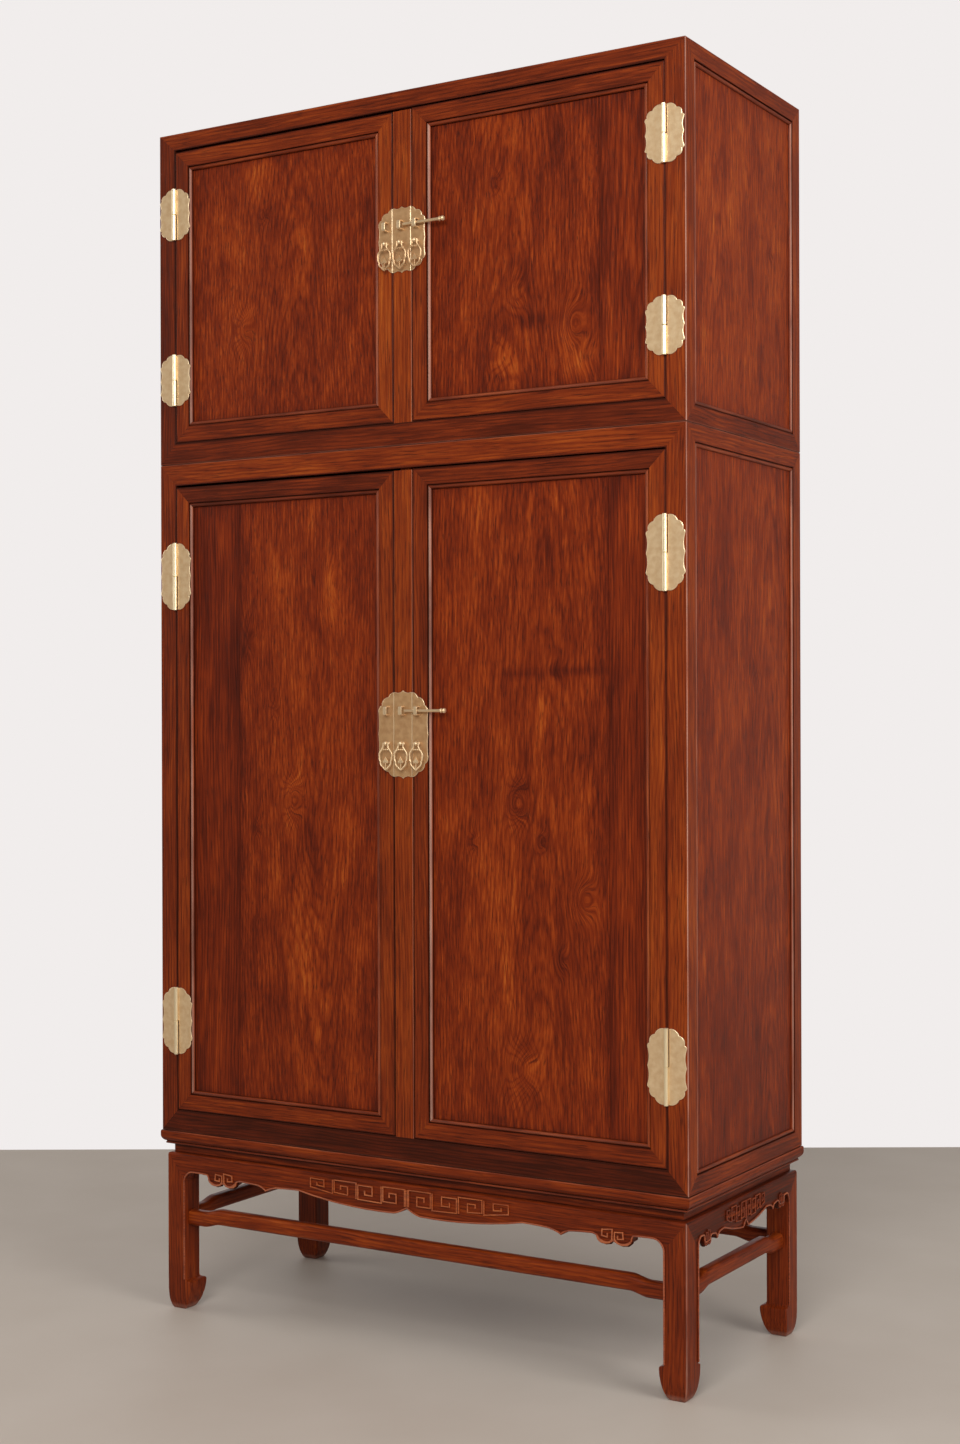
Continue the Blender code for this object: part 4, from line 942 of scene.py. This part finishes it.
# %% Apron boards
LEG_SIDE, LONG_HALF = 0.046, 0.5412
APRON_THICKNESS, APRON_END_DROP, SHOULDER, SHOULDER_STEPS = 0.021, 0.055, 0.0055, 6
APRON_EDGE = ((0.960, 0.0364, -0.0056), (0.894, 0.0374, -0.0004), (0.888, 0.0470, -0.0008),
              (0.818, 0.0503, 0.0069), (0.753, 0.0440, 0.0080), (0.725, 0.0417, -0.0012),
              (0.655, 0.0440, -0.0004), (0.620, 0.0530, -0.0014), (0.566, 0.0438, -0.0014),
              (0.470, 0.0418, -0.0004), (0.055, 0.0588, 0.0065), (0.000, 0.0460, 0.0016))


def apron_edge(half):
    """The scalloped lower edge from the leg to the middle; a short apron's arcs are squeezed."""
    squeeze = 1.0 if half > LONG_HALF / 2 else half / LONG_HALF
    return outline((half, -APRON_END_DROP),
                   [(share * half, -drop, bulge * squeeze) for share, drop, bulge in APRON_EDGE])


def apron_board(span, edge):
    """An apron on XZ, its front face at y = 0 and its top at z = 0, sawn to the legs and the corners."""
    end = [Vector((0, 0)), Vector((span, 0)), Vector((span, -APRON_END_DROP))]
    solid = plate(mirrored(end + edge), APRON_THICKNESS)
    crest = [e for e in solid.edges if all(v.co.z > -0.0001 and v.co.y < 0.0001 for v in e.verts)]
    bevelled(solid, crest, SHOULDER, SHOULDER_STEPS)
    for sign in (-1, 1):
        saw(solid, (sign * span, 0, 0), (sign * APRON_END_DROP, 0, -LEG_SIDE))
        saw(solid, (sign * span, 0, 0), (sign, 1, 0))
    return solid


print("apron lower edge points:", len(apron_edge(LONG_HALF)))

# %% [markdown]
# The front and back aprons carry a carved key fret in the middle and a pair of curls beside each leg; the
# short side aprons carry the same at their own length. Carving cuts the ground away and leaves raised lines,
# so the lines are laid on the board as half-buried round strips 4 mm wide. A wider strip lies under each,
# nearly flush with the board, painted dark as the shade beside the lines, and the foot of each line is
# painted dark as shade too. A finer strip follows the lower edge and runs on down the inner edge of each leg,
# painted pale as a highlight. Crowns are painted pale as a highlight with some wear, strongly in front and
# less on the side aprons, which are painted darker as their shade.

# %% Lines of the carving
FRET_EDGES = (0.008, 0.107, 0.215, 0.318, 0.423)
FRET_TOP, FRET_HEIGHT, FRET_NARROWING, FRET_MIDDLE = 0.0100, 0.0325, 0.18, 0.004
FRET_UNIT = ((0.0, 0.0), (0.0, 1.0), (0.93, 1.0), (0.93, 0.12), (0.36, 0.12), (0.36, 0.66), (0.66, 0.66),
             (0.66, 0.40))
CURLS = (((0.757, 0.0440), (0.761, 0.0500), (0.771, 0.0537), (0.788, 0.0550), (0.804, 0.0530),
          (0.813, 0.0480), (0.814, 0.0290), (0.776, 0.0315), (0.775, 0.0425), (0.796, 0.0440),
          (0.796, 0.0370)),
         ((0.834, 0.0390), (0.834, 0.0455), (0.855, 0.0445), (0.853, 0.0325), (0.823, 0.0340),
          (0.822, 0.0460), (0.832, 0.0525), (0.850, 0.0550), (0.870, 0.0535), (0.883, 0.0475)))
HOOF_TOP, EDGE_INSET = 0.064, 0.0019


def carved_lines(half):
    """The lines of fret and curls on an apron; each unit of the fret is turned over from the last."""
    middle = FRET_MIDDLE * half
    lines = [[Vector((middle, 0, -FRET_TOP)), Vector((middle, 0, -FRET_TOP - FRET_HEIGHT))]]
    for number, (start, end) in enumerate(zip(FRET_EDGES, FRET_EDGES[1:])):
        line = []
        for across, up in FRET_UNIT:
            share = start + (end - start) * across
            level = up if number % 2 == 0 else 1 - up
            drop = FRET_TOP + (FRET_HEIGHT - FRET_NARROWING * share ** 3) * (1 - level)
            line.append(Vector((share * half, 0, -drop)))
        lines.append(line)
    lines += [[Vector((share * half, 0, -drop)) for share, drop in curl] for curl in CURLS]
    return lines + [[Vector((-point.x, 0, point.z)) for point in line] for line in lines]


def edge_bead_line(half, edge, leg_top):
    """A line inside the lower edge and on down the inner edges of the legs."""
    points, moved = [Vector((half, HOOF_TOP - leg_top)), *edge], []
    for number, point in enumerate(points):
        way = points[min(number + 1, len(points) - 1)] - points[max(number - 1, 0)]
        inside = point + Vector((way.y, -way.x)).normalized() * EDGE_INSET
        moved.append(Vector((inside.x, 0, inside.y)))
    return two_sided(moved)


print("carved lines on an apron:", len(carved_lines(LONG_HALF)))

# %% Aprons with fret, curls and edge bead
LINE, EDGE_LINE, PROUD, SHADE_LINE, SHADE_PROUD = 0.0020, 0.0018, 0.0012, 0.0042, 0.0003
# The side aprons are painted darker, as their shade.
APRON_TONES_AND_PAINTED_SHADE = {"front": -0.10, "back": -0.10, "left": -0.26, "right": -0.26}
# Ridges are painted paler in front as highlight, with some wear, and barely on the shaded sides.
RIDGE_PAINTED_LIGHT = {"front": 0.42, "back": 0.42, "left": -0.02, "right": -0.02}
RIDGE_HIGHLIGHT_AND_WEAR = {"front": 0.18, "back": 0.18, "left": 0.06, "right": 0.06}
# The ridge feet and the strip beneath are painted dark as shade; the edge bead is painted pale as highlight.
RIDGE_FOOT_PAINTED_SHADE, SHADE_TONE, EDGE_BEAD_HIGHLIGHT_AND_WEAR, EDGE_BEAD_HIGHLIGHT_TONE = -0.30, -0.45, 0.18, 0.22
stand_top = waist_top - WAIST_HEIGHT
leg_low, leg_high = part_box("leg_front_right")
corner = {"front": leg_low.y, "right": leg_high.x, "back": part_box("leg_back_right")[1].y,
          "left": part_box("leg_front_left")[0].x}
stand_middle = (corner["front"] + corner["back"]) / 2
half_deep, half_wide = stand_middle - corner["front"], corner["right"]

for side, turn, reach, span in (("front", 0, half_deep, half_wide), ("right", 90, half_wide, half_deep),
                                ("back", 180, half_deep, half_wide), ("left", 270, half_wide, half_deep)):
    half = span - LEG_SIDE
    edge = apron_edge(half)
    place = (Matrix.Translation((0, stand_middle, 0)) @ Matrix.Rotation(math.radians(turn), 4, "Z")
             @ Matrix.Translation((0, -reach, stand_top)))
    board = lay_grain(apron_board(span, edge), 0, APRON_TONES_AND_PAINTED_SHADE[side])
    piece(f"stand_apron_{side}", outward(placed(board, place)), "lower_cabinet", frame_wood, f"apron_{side}")

    lines = carved_lines(half)
    ridge = lay_grain(raised_line(lines, LINE, RIDGE_HIGHLIGHT_AND_WEAR[side], RIDGE_FOOT_PAINTED_SHADE), 0, RIDGE_PAINTED_LIGHT[side])
    shade_line = lay_grain(raised_line(lines, SHADE_LINE), 0, SHADE_TONE + APRON_TONES_AND_PAINTED_SHADE[side])
    carving = joined(shifted(ridge, (0, -PROUD, 0)), shifted(shade_line, (0, SHADE_LINE - SHADE_PROUD, 0)))
    piece(f"stand_carving_{side}", placed(carving, place), "lower_cabinet", frame_wood)

    strip = raised_line([edge_bead_line(half, edge, stand_top)], EDGE_LINE, EDGE_BEAD_HIGHLIGHT_AND_WEAR, RIDGE_FOOT_PAINTED_SHADE)
    placed(lay_grain(strip, 0, EDGE_BEAD_HIGHLIGHT_TONE), place @ Matrix.Translation((0, -PROUD, 0)))
    piece(f"stand_edge_bead_{side}", strip, "lower_cabinet", frame_wood)
print("stand corner:", {key: round(value, 4) for key, value in corner.items()})

# %% [markdown]
# A leg is square in section and ends in a hoof that turns inward under a crisp lip. It is drawn as a rounded
# square and extruded upward in short steps, and each step moves the outer and the inner side of the section
# to where the profile says. The top is sawn to a point between the two aprons, and a tenon behind it runs up
# into the waist.

# %% A hoof leg
LEG_EDGE, LEG_EDGE_STEPS, LEG_EDGE_HIGHLIGHT_AND_WEAR, FOOT_WEAR, FOOT_WORN_HEIGHT = 0.0026, 3, 0.28, 0.20, 0.01
HOOF = ((0.0, 0.0085, -0.0075), (0.0020, 0.0070, -0.0050), (0.0060, 0.0052, -0.0022),
        (0.0120, 0.0033, 0.0012), (0.0200, 0.0016, 0.0044), (0.0300, 0.0005, 0.0072), (0.0400, 0.0, 0.0092),
        (0.0480, 0.0, 0.0102), (0.0535, 0.0, 0.0106), (0.0568, 0.0, 0.0102), (0.0586, 0.0, 0.0086),
        (0.0597, 0.0, 0.0050), (0.0612, 0.0, 0.0014), (0.0660, 0.0, 0.0))


def drawn_on(solid, face):
    """Extrude a face and return the new one; the old one is dropped, so that no wall is left inside."""
    raised = bmesh.ops.extrude_face_region(solid, geom=[face])["geom"]
    bmesh.ops.delete(solid, geom=[face], context="FACES_ONLY")
    return next(part for part in raised if isinstance(part, bmesh.types.BMFace))


def hoof_leg():
    """A leg whose outer corner stands on the origin and which lies towards +X and +Y."""
    solid = bmesh.new()
    wear_and_highlight = solid.verts.layers.float.new("wear_and_highlight")
    bmesh.ops.create_grid(solid, x_segments=1, y_segments=1, size=LEG_SIDE / 2,
                          matrix=Matrix.Translation((LEG_SIDE / 2, LEG_SIDE / 2, 0)))
    bevelled(solid, solid.verts[:], LEG_EDGE, LEG_EDGE_STEPS, "VERTICES")
    top_face = solid.faces[:][0]
    for level, *_ in (*HOOF[1:], (stand_top,)):
        top_face = drawn_on(solid, top_face)
        for vert in top_face.verts:
            vert.co.z = level
    profile = {round(level, 5): (tuck, flare) for level, tuck, flare in HOOF}
    for vert in solid.verts:
        outer_edge = vert.co.x + vert.co.y < 0.9 * LEG_EDGE
        # The outer arris is painted pale as a highlight with some wear; the toes are worn paler.
        vert[wear_and_highlight] = LEG_EDGE_HIGHLIGHT_AND_WEAR if outer_edge else FOOT_WEAR if vert.co.z < FOOT_WORN_HEIGHT else 0.0
        tuck, flare = profile.get(round(vert.co.z, 5), (0.0, 0.0))
        for axis in (0, 1):
            share = vert.co[axis] / LEG_SIDE
            vert.co[axis] = tuck + share * (LEG_SIDE + flare - tuck)
    closed(solid)
    outward(solid)
    crest = [e for e in solid.edges if all(v.co.z > stand_top - 0.0001 for v in e.verts)
             and any(max(v.co[axis] for v in e.verts) < LEG_EDGE + 0.0001 for axis in (0, 1))]
    bevelled(solid, crest, SHOULDER, SHOULDER_STEPS)
    saw(solid, (0, 0, stand_top), (APRON_END_DROP, 0, LEG_SIDE))
    saw(solid, (0, 0, stand_top), (0, APRON_END_DROP, LEG_SIDE))
    return solid


print("steps in a hoof:", len(HOOF))

# %% Four legs with their tenons
LEG_TONE, LEG_TENON_TONE = -0.06, -0.05
LEG_TENON_INSET, LEG_TENON_GAP, LEG_TENON_REACH, LEG_TENON_TOP_GAP = 0.018, 0.0005, 0.004, 0.0004
tenon_edges = (LEG_TENON_INSET, LEG_SIDE - LEG_TENON_GAP)
for end, away in (("front", 1), ("back", -1)):
    for side, sign in ENDS:
        outer = Vector((corner[side], corner[end], 0))
        leg = outward(placed(hoof_leg(), Matrix.Translation(outer) @ Matrix.Diagonal((-sign, away, 1, 1))))
        piece(f"stand_leg_{end}_{side}", lay_grain(leg, 2, LEG_TONE), "lower_cabinet", frame_wood,
              f"leg_{end}_{side}")
        across, deep = (sorted(outer[axis] + way * edge for edge in tenon_edges)
                        for axis, way in ((0, -sign), (1, away)))
        tenon = plain_board((across[0], deep[0], stand_top - APRON_END_DROP - LEG_TENON_REACH),
                            (across[1], deep[1], stand_top + WAIST_HEIGHT - LEG_TENON_TOP_GAP))
        lay_grain(tenon, 2, LEG_TENON_TONE)
        piece(f"stand_leg_tenon_{end}_{side}", tenon, "lower_cabinet", frame_wood)
print("legs:", 2 * len(ENDS))

# %% [markdown]
# The stretchers are humpbacked: each leaves the leg, rises a little in a short double curve, and runs level
# between the two humps. A rounded section is extruded along the bar and lifted step by step.

# %% Humpback stretchers
BAR_ROUND, BAR_ROUND_STEPS, HUMP, HUMP_STEPS = 0.009, 5, 0.008, 8
SHOULDER_LENGTH, STEP_LENGTH = 0.036, 0.040


def humpback_bar(half, wide, tall):
    """A humped bar along X about the origin."""
    solid = bmesh.new()
    bmesh.ops.create_grid(solid, x_segments=1, y_segments=1, size=0.5,
                          matrix=Matrix.Rotation(math.pi / 2, 4, "Y") @ Matrix.Diagonal((tall, wide, 1, 1)))
    bevelled(solid, solid.verts[:], BAR_ROUND, BAR_ROUND_STEPS, "VERTICES")
    shifted(solid, (-half, 0, 0))
    face = solid.faces[:][0]
    rise = [half - SHOULDER_LENGTH - STEP_LENGTH * step / HUMP_STEPS for step in range(HUMP_STEPS + 1)]
    for station in [-step for step in rise] + rise[::-1] + [half]:
        face = drawn_on(solid, face)
        for vert in face.verts:
            vert.co.x = station
    closed(solid)
    for vert in solid.verts:
        share = min(1.0, max(0.0, (half - SHOULDER_LENGTH - abs(vert.co.x)) / STEP_LENGTH))
        vert.co.z += HUMP * share * share * (3 - 2 * share)
    return outward(solid)


for side, axis in (("front", 0), ("back", 0), ("left", 1), ("right", 1)):
    low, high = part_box(f"stretcher_{side}")
    size, centre = high - low, (low + high) / 2
    tall = size.z - HUMP
    bar = lay_grain(humpback_bar(size[axis] / 2, size[1 - axis], tall), 0)
    place = (Matrix.Translation((centre.x, centre.y, low.z + tall / 2))
             @ Matrix.Rotation(0 if axis == 0 else math.pi / 2, 4, "Z"))
    piece(f"stand_stretcher_{side}", placed(bar, place), "lower_cabinet", frame_wood, f"stretcher_{side}")
print("stretchers: 4")

# %% [markdown]
# Brass is turned or filed. A turned piece is a profile spun round an axis, and a filed plate has a narrow
# bevel round its front rim, which use has polished.

# %% Turning and filing
RIM, RIM_POLISH = 0.0009, 0.6


def spun(profile, steps=24):
    """A turned solid about Z from (radius, height) points."""
    solid = bmesh.new()
    dots = [solid.verts.new((radius, 0, height)) for radius, height in profile]
    edges = [solid.edges.new(pair) for pair in zip(dots, dots[1:])]
    bmesh.ops.spin(solid, geom=dots + edges, axis=(0, 0, 1), cent=(0, 0, 0), angle=math.tau, steps=steps,
                   use_merge=True)
    bmesh.ops.remove_doubles(solid, verts=solid.verts, dist=0.00002)
    return outward(solid)


def polished(solid, share, faces=None):
    """Say how far faces are polished; all of them unless some are given."""
    polish = solid.faces.layers.float.get("polish") or solid.faces.layers.float.new("polish")
    for face in faces or solid.faces:
        face[polish] = share
    return solid


def filed(solid, width):
    """Bevel the front rim of a plate on XZ and polish it."""
    polished(solid, 0.0)
    rim = [e for e in solid.edges if all(v.co.y < 0.00001 for v in e.verts) and len(e.link_faces) == 2
           and e.calc_face_angle(0.0) > 1.0]
    return polished(solid, RIM_POLISH, bevelled(solid, rim, width, 2))


print("filed rim:", RIM * 1000, "mm")

# %% [markdown]
# A hinge has two lobed leaves of sheet brass and a barrel in two knuckles. The leaf is cut from an outline of
# arcs, three lobes at each corner and a small point half way down, and its front edge is filed to a bevel
# that shows as a pale rim. The barrel is turned.

# %% Hinges
LEAF, BARREL_RADIUS, BARREL_GAP, BARREL_END, BARREL_EASE = 0.0016, 0.0042, 0.0004, 0.0015, 0.0007
LEAF_LOBES = ((0.62, 0.84, 0.0042), (0.895, 0.60, 0.0044), (1.0, 0.49, 0.0018), (1.0, 0.0, -0.0028))
TAB_FROM = 0.001


def upside_down(points):
    """The points of the upper half again below, without the last."""
    return [Vector((point.x, -point.y)) for point in reversed(points[:-1])]


def lobed_leaf(wide, tall):
    """One leaf to the right of the barrel, front face at y = 0, with a tab under the lower knuckle."""
    clear, part = BARREL_RADIUS + BARREL_GAP, BARREL_GAP / 2
    points = outline((clear, tall), [(share * wide, up * tall, bulge) for share, up, bulge in LEAF_LOBES])
    points += upside_down(points)
    points += [Vector((TAB_FROM, -tall)), Vector((TAB_FROM, -part)), Vector((clear, -part))]
    return filed(plate(points, LEAF), RIM)


def barrel_knuckle(end):
    """The lower knuckle of a barrel about Z, eased at both ends."""
    eased, part = BARREL_RADIUS - BARREL_EASE, BARREL_GAP / 2
    return spun([(0.0, -end), (eased, -end), (BARREL_RADIUS, BARREL_EASE - end),
                 (BARREL_RADIUS, -part - BARREL_EASE), (eased, -part), (0.0, -part)])


for cabinet, (side, sign), level in itertools.product(FRONT_RAILS, ENDS, ("top", "bottom")):
    base = f"{cabinet}_hinge_{side}_{level}"
    post_low, post_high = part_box(f"{base}_post_leaf")
    door_low, door_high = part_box(f"{base}_door_leaf")
    left, right = min(post_low.x, door_low.x), max(post_high.x, door_high.x)
    end = (post_high.z - post_low.z) / 2
    leaf_y = max(post_high.y, door_high.y) - LEAF
    axis_place = Matrix.Translation(((right + left) / 2, leaf_y, (post_low.z + post_high.z) / 2))
    for half, turn, body in (("post", 1, f"{cabinet}_cabinet"), ("door", -1, f"{cabinet}_door_{side}")):
        knuckle = shifted(barrel_knuckle(end), (0, post_low.y + BARREL_RADIUS - leaf_y, 0))
        solid = joined(lobed_leaf((right - left) / 2, end - BARREL_END), polished(knuckle, 1.0))
        outward(placed(solid, axis_place @ Matrix.Diagonal((sign * turn, 1, turn, 1))))
        piece(f"{base}_{half}", solid, body, hinge_brass, f"{base}_{half}_leaf", sharp=BRASS_SHARP)
print("hinges: 8, leaf lobes:", len(LEAF_LOBES) - 2)

# %% [markdown]
# Each lock plate is one lobed sheet sawn into three, for the left door, the centre stile and the right door.
# The whole plate is cut out once and each section is kept by sawing the rest away. Points of the outline that
# crowd a sawn corner are welded to it, because the filed rim would cross itself there.

# %% Sections of a lock plate
PLATE_LOBES = ((0.23, 0.945, -0.0015), (0.586, 0.845, 0.0046), (0.851, 0.665, 0.0046), (0.985, 0.50, 0.0026),
               (0.985, 0.02, -0.0012), (1.0, 0.0, 0.0))
DOOR_EDGE, STILE_EDGE = 0.0211, 0.0206
SECTIONS = (("left", -1, (-1.0, -DOOR_EDGE)), ("centre", 0, (-STILE_EDGE, STILE_EDGE)),
            ("right", 1, (DOOR_EDGE, 1.0)))


def lock_section(half, tall, limits):
    """One section of the lobed plate, filed at its rim; its front face is at y = 0."""
    quarter = outline((0.0, tall), [(share * half, up * tall, bulge) for share, up, bulge in PLATE_LOBES])
    solid = plate(mirrored(quarter + upside_down(quarter)), LEAF)
    for place, way in zip(limits, (-1, 1)):
        saw(solid, (place, 0, 0), (way, 0, 0))
    cut = [vert for vert in solid.verts if min(abs(vert.co.x - place) for place in limits) < SHORTEST_EDGE]
    crowded = {edge.other_vert(vert): vert for vert in cut for edge in vert.link_edges
               if edge.calc_length() < 2 * RIM and edge.other_vert(vert) not in cut}
    bmesh.ops.weld_verts(solid, targetmap=crowded)
    return filed(solid, RIM)


print("sections of a lock plate:", [name for name, *_ in SECTIONS])

# %% [markdown]
# Each section has a strap loop for the lock pin and a drilled ball that a pull hangs from. The loop is a bent
# strap, so its side view is drawn and extruded; the ball is spun with its hole, about the line of the hole.

# %% Strap loop and drilled ball
LOOP_WIDTH, LOOP_HEIGHT, LOOP_PROUD, LOOP_STRAP, LOOP_SUNK = 0.0075, 0.018, 0.012, 0.0024, 0.0005
LOOP_BEND, LOOP_BULGE, LOOP_INNER_BEND, LOOP_INNER_BULGE, LOOP_EDGE = 0.004, 0.0012, 0.0028, 0.0008, 0.0006
BALL_RADIUS, BALL_HALF_WIDTH, BALL_PROUD, BALL_BORE = 0.0045, 0.0032, 0.008, 0.0019
NECK_RADIUS, NECK_FLARE, NECK_SUNK = 0.0024, 0.0036, 0.0005
Z_TO_X = Matrix.Rotation(math.pi / 2, 4, "Y")
Z_TO_Y = Matrix.Rotation(-math.pi / 2, 4, "X")


def strap_loop():
    """A bent strap that stands on a plate: its side view is extruded across."""
    high, reach = LOOP_HEIGHT / 2, LOOP_PROUD
    inside, face = high - LOOP_STRAP, reach - LOOP_STRAP
    shape = outline((-LOOP_SUNK, high), [
        (reach - LOOP_BEND, high, 0.0), (reach, high - LOOP_BEND, LOOP_BULGE), (reach, LOOP_BEND - high, 0.0),
        (reach - LOOP_BEND, -high, LOOP_BULGE), (-LOOP_SUNK, -high, 0.0), (-LOOP_SUNK, -inside, 0.0),
        (face - LOOP_INNER_BEND, -inside, 0.0), (face, LOOP_INNER_BEND - inside, -LOOP_INNER_BULGE),
        (face, inside - LOOP_INNER_BEND, 0.0), (face - LOOP_INNER_BEND, inside, -LOOP_INNER_BULGE),
        (-LOOP_SUNK, inside, 0.0)])
    solid = plate(shape, LOOP_WIDTH)
    bevelled(solid, [e for e in solid.edges if e.calc_face_angle(0.0) > 1.2], LOOP_EDGE, 2)
    return placed(solid, Matrix.Rotation(-math.pi / 2, 4, "Z") @ Matrix.Translation((0, -LOOP_WIDTH / 2, 0)))


def drilled_ball():
    """A flattened ball bored along X on a short neck that runs back to the plate."""
    start = math.degrees(math.asin(BALL_BORE / BALL_RADIUS))
    rim = arc((0, 0), 1.0, start, 180 - start, 14)
    profile = [(BALL_RADIUS * up, BALL_HALF_WIDTH * along) for along, up in rim]
    ball = placed(spun(profile + [profile[0]], 20), Z_TO_X)
    root, foot = BALL_RADIUS * 0.7, BALL_PROUD + NECK_SUNK
    neck = spun([(0.0, root), (NECK_RADIUS, root), (NECK_RADIUS, BALL_PROUD - 0.002),
                 (NECK_FLARE, BALL_PROUD - NECK_SUNK), (NECK_FLARE, foot), (0.0, foot)], 16)
    return joined(ball, placed(neck, Z_TO_Y))


print("loop:", LOOP_HEIGHT * 1000, "mm high, ball:", BALL_RADIUS * 2000, "mm across")

# %% Lock plates
FITTING_SPACING, FITTING_POLISH = 0.0345, 0.60
FITTINGS = {"lower": (0.045, 0.017), "upper": (0.027, 0.006)}
for cabinet, (loop_rise, ball_drop) in FITTINGS.items():
    low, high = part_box(f"{cabinet}_lock_plate_centre")
    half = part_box(f"{cabinet}_lock_plate_right")[1].x
    level, tall, face_y = (low.z + high.z) / 2, (high.z - low.z) / 2, high.y - LEAF
    for section, step, limits in SECTIONS:
        x = step * FITTING_SPACING
        loop = shifted(strap_loop(), (x, 0, loop_rise))
        ball = shifted(drilled_ball(), (x, -BALL_PROUD, -ball_drop))
        solid = joined(lock_section(half, tall, limits), polished(loop, FITTING_POLISH),
                       polished(ball, FITTING_POLISH))
        outward(shifted(solid, (0, face_y, level)))
        body = f"{cabinet}_stile" if section == "centre" else f"{cabinet}_door_{section}"
        piece(f"{cabinet}_lock_{section}", solid, body, plate_brass, f"{cabinet}_lock_plate_{section}",
              sharp=BRASS_SHARP)
print("lock plate sections:", len(FITTINGS) * len(SECTIONS))

# %% [markdown]
# A pull is a cast ring, pointed below, that hangs from its ball on a small cross pin. Inside it are a row of
# three beads and a bud on a stem. The ring is a bent wire to the eye, so it is a round bar along a line with
# two small nicks at each side; the bud is a plate with its rim filed away.

# %% Drop pulls
PULL_WIRE, PULL_START, PULL_POLISH = 0.0016, (0.0052, 0.0016), 0.15
# The lower pulls take the paler hinge brass as a painted highlight; the upper pulls keep the darker plate
# brass.
PULL_BRASS_WITH_PAINTED_HIGHLIGHT = {"lower": hinge_brass, "upper": plate_brass}
PULL_LINE = ((0.0052, -0.0048, 0.0), (0.0084, -0.0108, -0.0006), (0.0092, -0.0126, 0.0),
             (0.0140, -0.0262, 0.0022), (0.0114, -0.0345, 0.0010), (0.0118, -0.0362, 0.0),
             (0.0062, -0.0445, 0.0014), (0.0, -0.0502, 0.0004))
BUD_TOP, BUD_THICKNESS, BUD_RIM = (0.0, -0.0245), 0.0026, 0.0007
BUD = ((0.0058, -0.0335, -0.0009), (0.0030, -0.0378, 0.0016), (0.0008, -0.0360, -0.0002),
       (0.0010, -0.0495, 0.0), (0.0, -0.0495, 0.0))
ROW_LEVEL, ROW_HALF, ROW_WIRE, PEARL_RADIUS, PEARL_SPACING = -0.0116, 0.0086, 0.0008, 0.0018, 0.0044
CROSS_PIN_RADIUS, CROSS_PIN_HALF = 0.0014, 0.0060


def drop_pull():
    """One pull about the middle of its ball."""
    line = two_sided([Vector((point.x, 0, point.y)) for point in outline(PULL_START, PULL_LINE)])
    ring = raised_line([line], PULL_WIRE)
    bud = filed(plate(mirrored(outline(BUD_TOP, BUD)), BUD_THICKNESS), BUD_RIM)
    shifted(bud, (0, -BUD_THICKNESS / 2, 0))
    pin = spun([(0.0, -CROSS_PIN_HALF), (CROSS_PIN_RADIUS, -CROSS_PIN_HALF),
                (CROSS_PIN_RADIUS, CROSS_PIN_HALF), (0.0, CROSS_PIN_HALF)], 12)
    row = raised_line([[Vector((across * ROW_HALF, 0, ROW_LEVEL)) for across in (-1, 1)]], ROW_WIRE)
    parts = [bud, placed(pin, Z_TO_X), row]
    for across in (-PEARL_SPACING, 0.0, PEARL_SPACING):
        pearl = bmesh.new()
        bmesh.ops.create_icosphere(pearl, subdivisions=2, radius=PEARL_RADIUS,
                                   matrix=Matrix.Translation((across, 0, ROW_LEVEL)))
        parts.append(pearl)
    return joined(ring, *parts)


for cabinet, (_, ball_drop) in FITTINGS.items():
    low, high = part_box(f"{cabinet}_lock_plate_centre")
    place = Vector((0, high.y - LEAF - BALL_PROUD, (low.z + high.z) / 2 - ball_drop))
    for section, step, _ in SECTIONS:
        name = f"{cabinet}_pull_{section}"
        solid = shifted(polished(drop_pull(), PULL_POLISH), place + Vector((step * FITTING_SPACING, 0, 0)))
        piece(f"{name}_ring", solid, name, PULL_BRASS_WITH_PAINTED_HIGHLIGHT[cabinet], name)
print("pulls:", len(FITTINGS) * len(SECTIONS))

# %% [markdown]
# A lock pin is a turned rod with a rounded tip and a waisted knob. It slides in the right door's loop. It is
# drawn clear of the other loops here, because a pin that is pushed home would hold the doors shut.

# %% Lock pins
PIN_RADIUS, KNOB_RADIUS, KNOB_LENGTH, PIN_POLISH = 0.0029, 0.0050, 0.011, 0.5
PIN_TIP = ((0.0, 0.0), (0.45, 0.0003), (0.8, 0.0012), (1.0, 0.0030))
KNOB = ((0.45, 0.0), (0.95, 0.0006), (1.0, 0.0014), (0.85, 0.0024), (0.55, 0.0034), (0.55, 0.0040),
        (0.8, 0.0056), (1.0, 0.0072), (0.95, 0.0086), (0.72, 0.0102), (0.35, 0.0109), (0.0, KNOB_LENGTH))
for cabinet in FITTINGS:
    low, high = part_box(f"{cabinet}_lock_pin")
    centre = (low + high) / 2
    reach = high.x - low.x - KNOB_LENGTH
    rod = [(PIN_RADIUS * share, along) for share, along in PIN_TIP] + [(PIN_RADIUS, reach)]
    knob = [(KNOB_RADIUS * share, reach + along) for share, along in KNOB]
    solid = polished(spun(rod + knob), PIN_POLISH)
    placed(solid, Matrix.Translation((low.x, centre.y, centre.z)) @ Z_TO_X)
    piece(f"{cabinet}_lock_rod", solid, f"{cabinet}_lock_pin", plate_brass, f"{cabinet}_lock_pin")
print("lock pins:", len(FITTINGS))
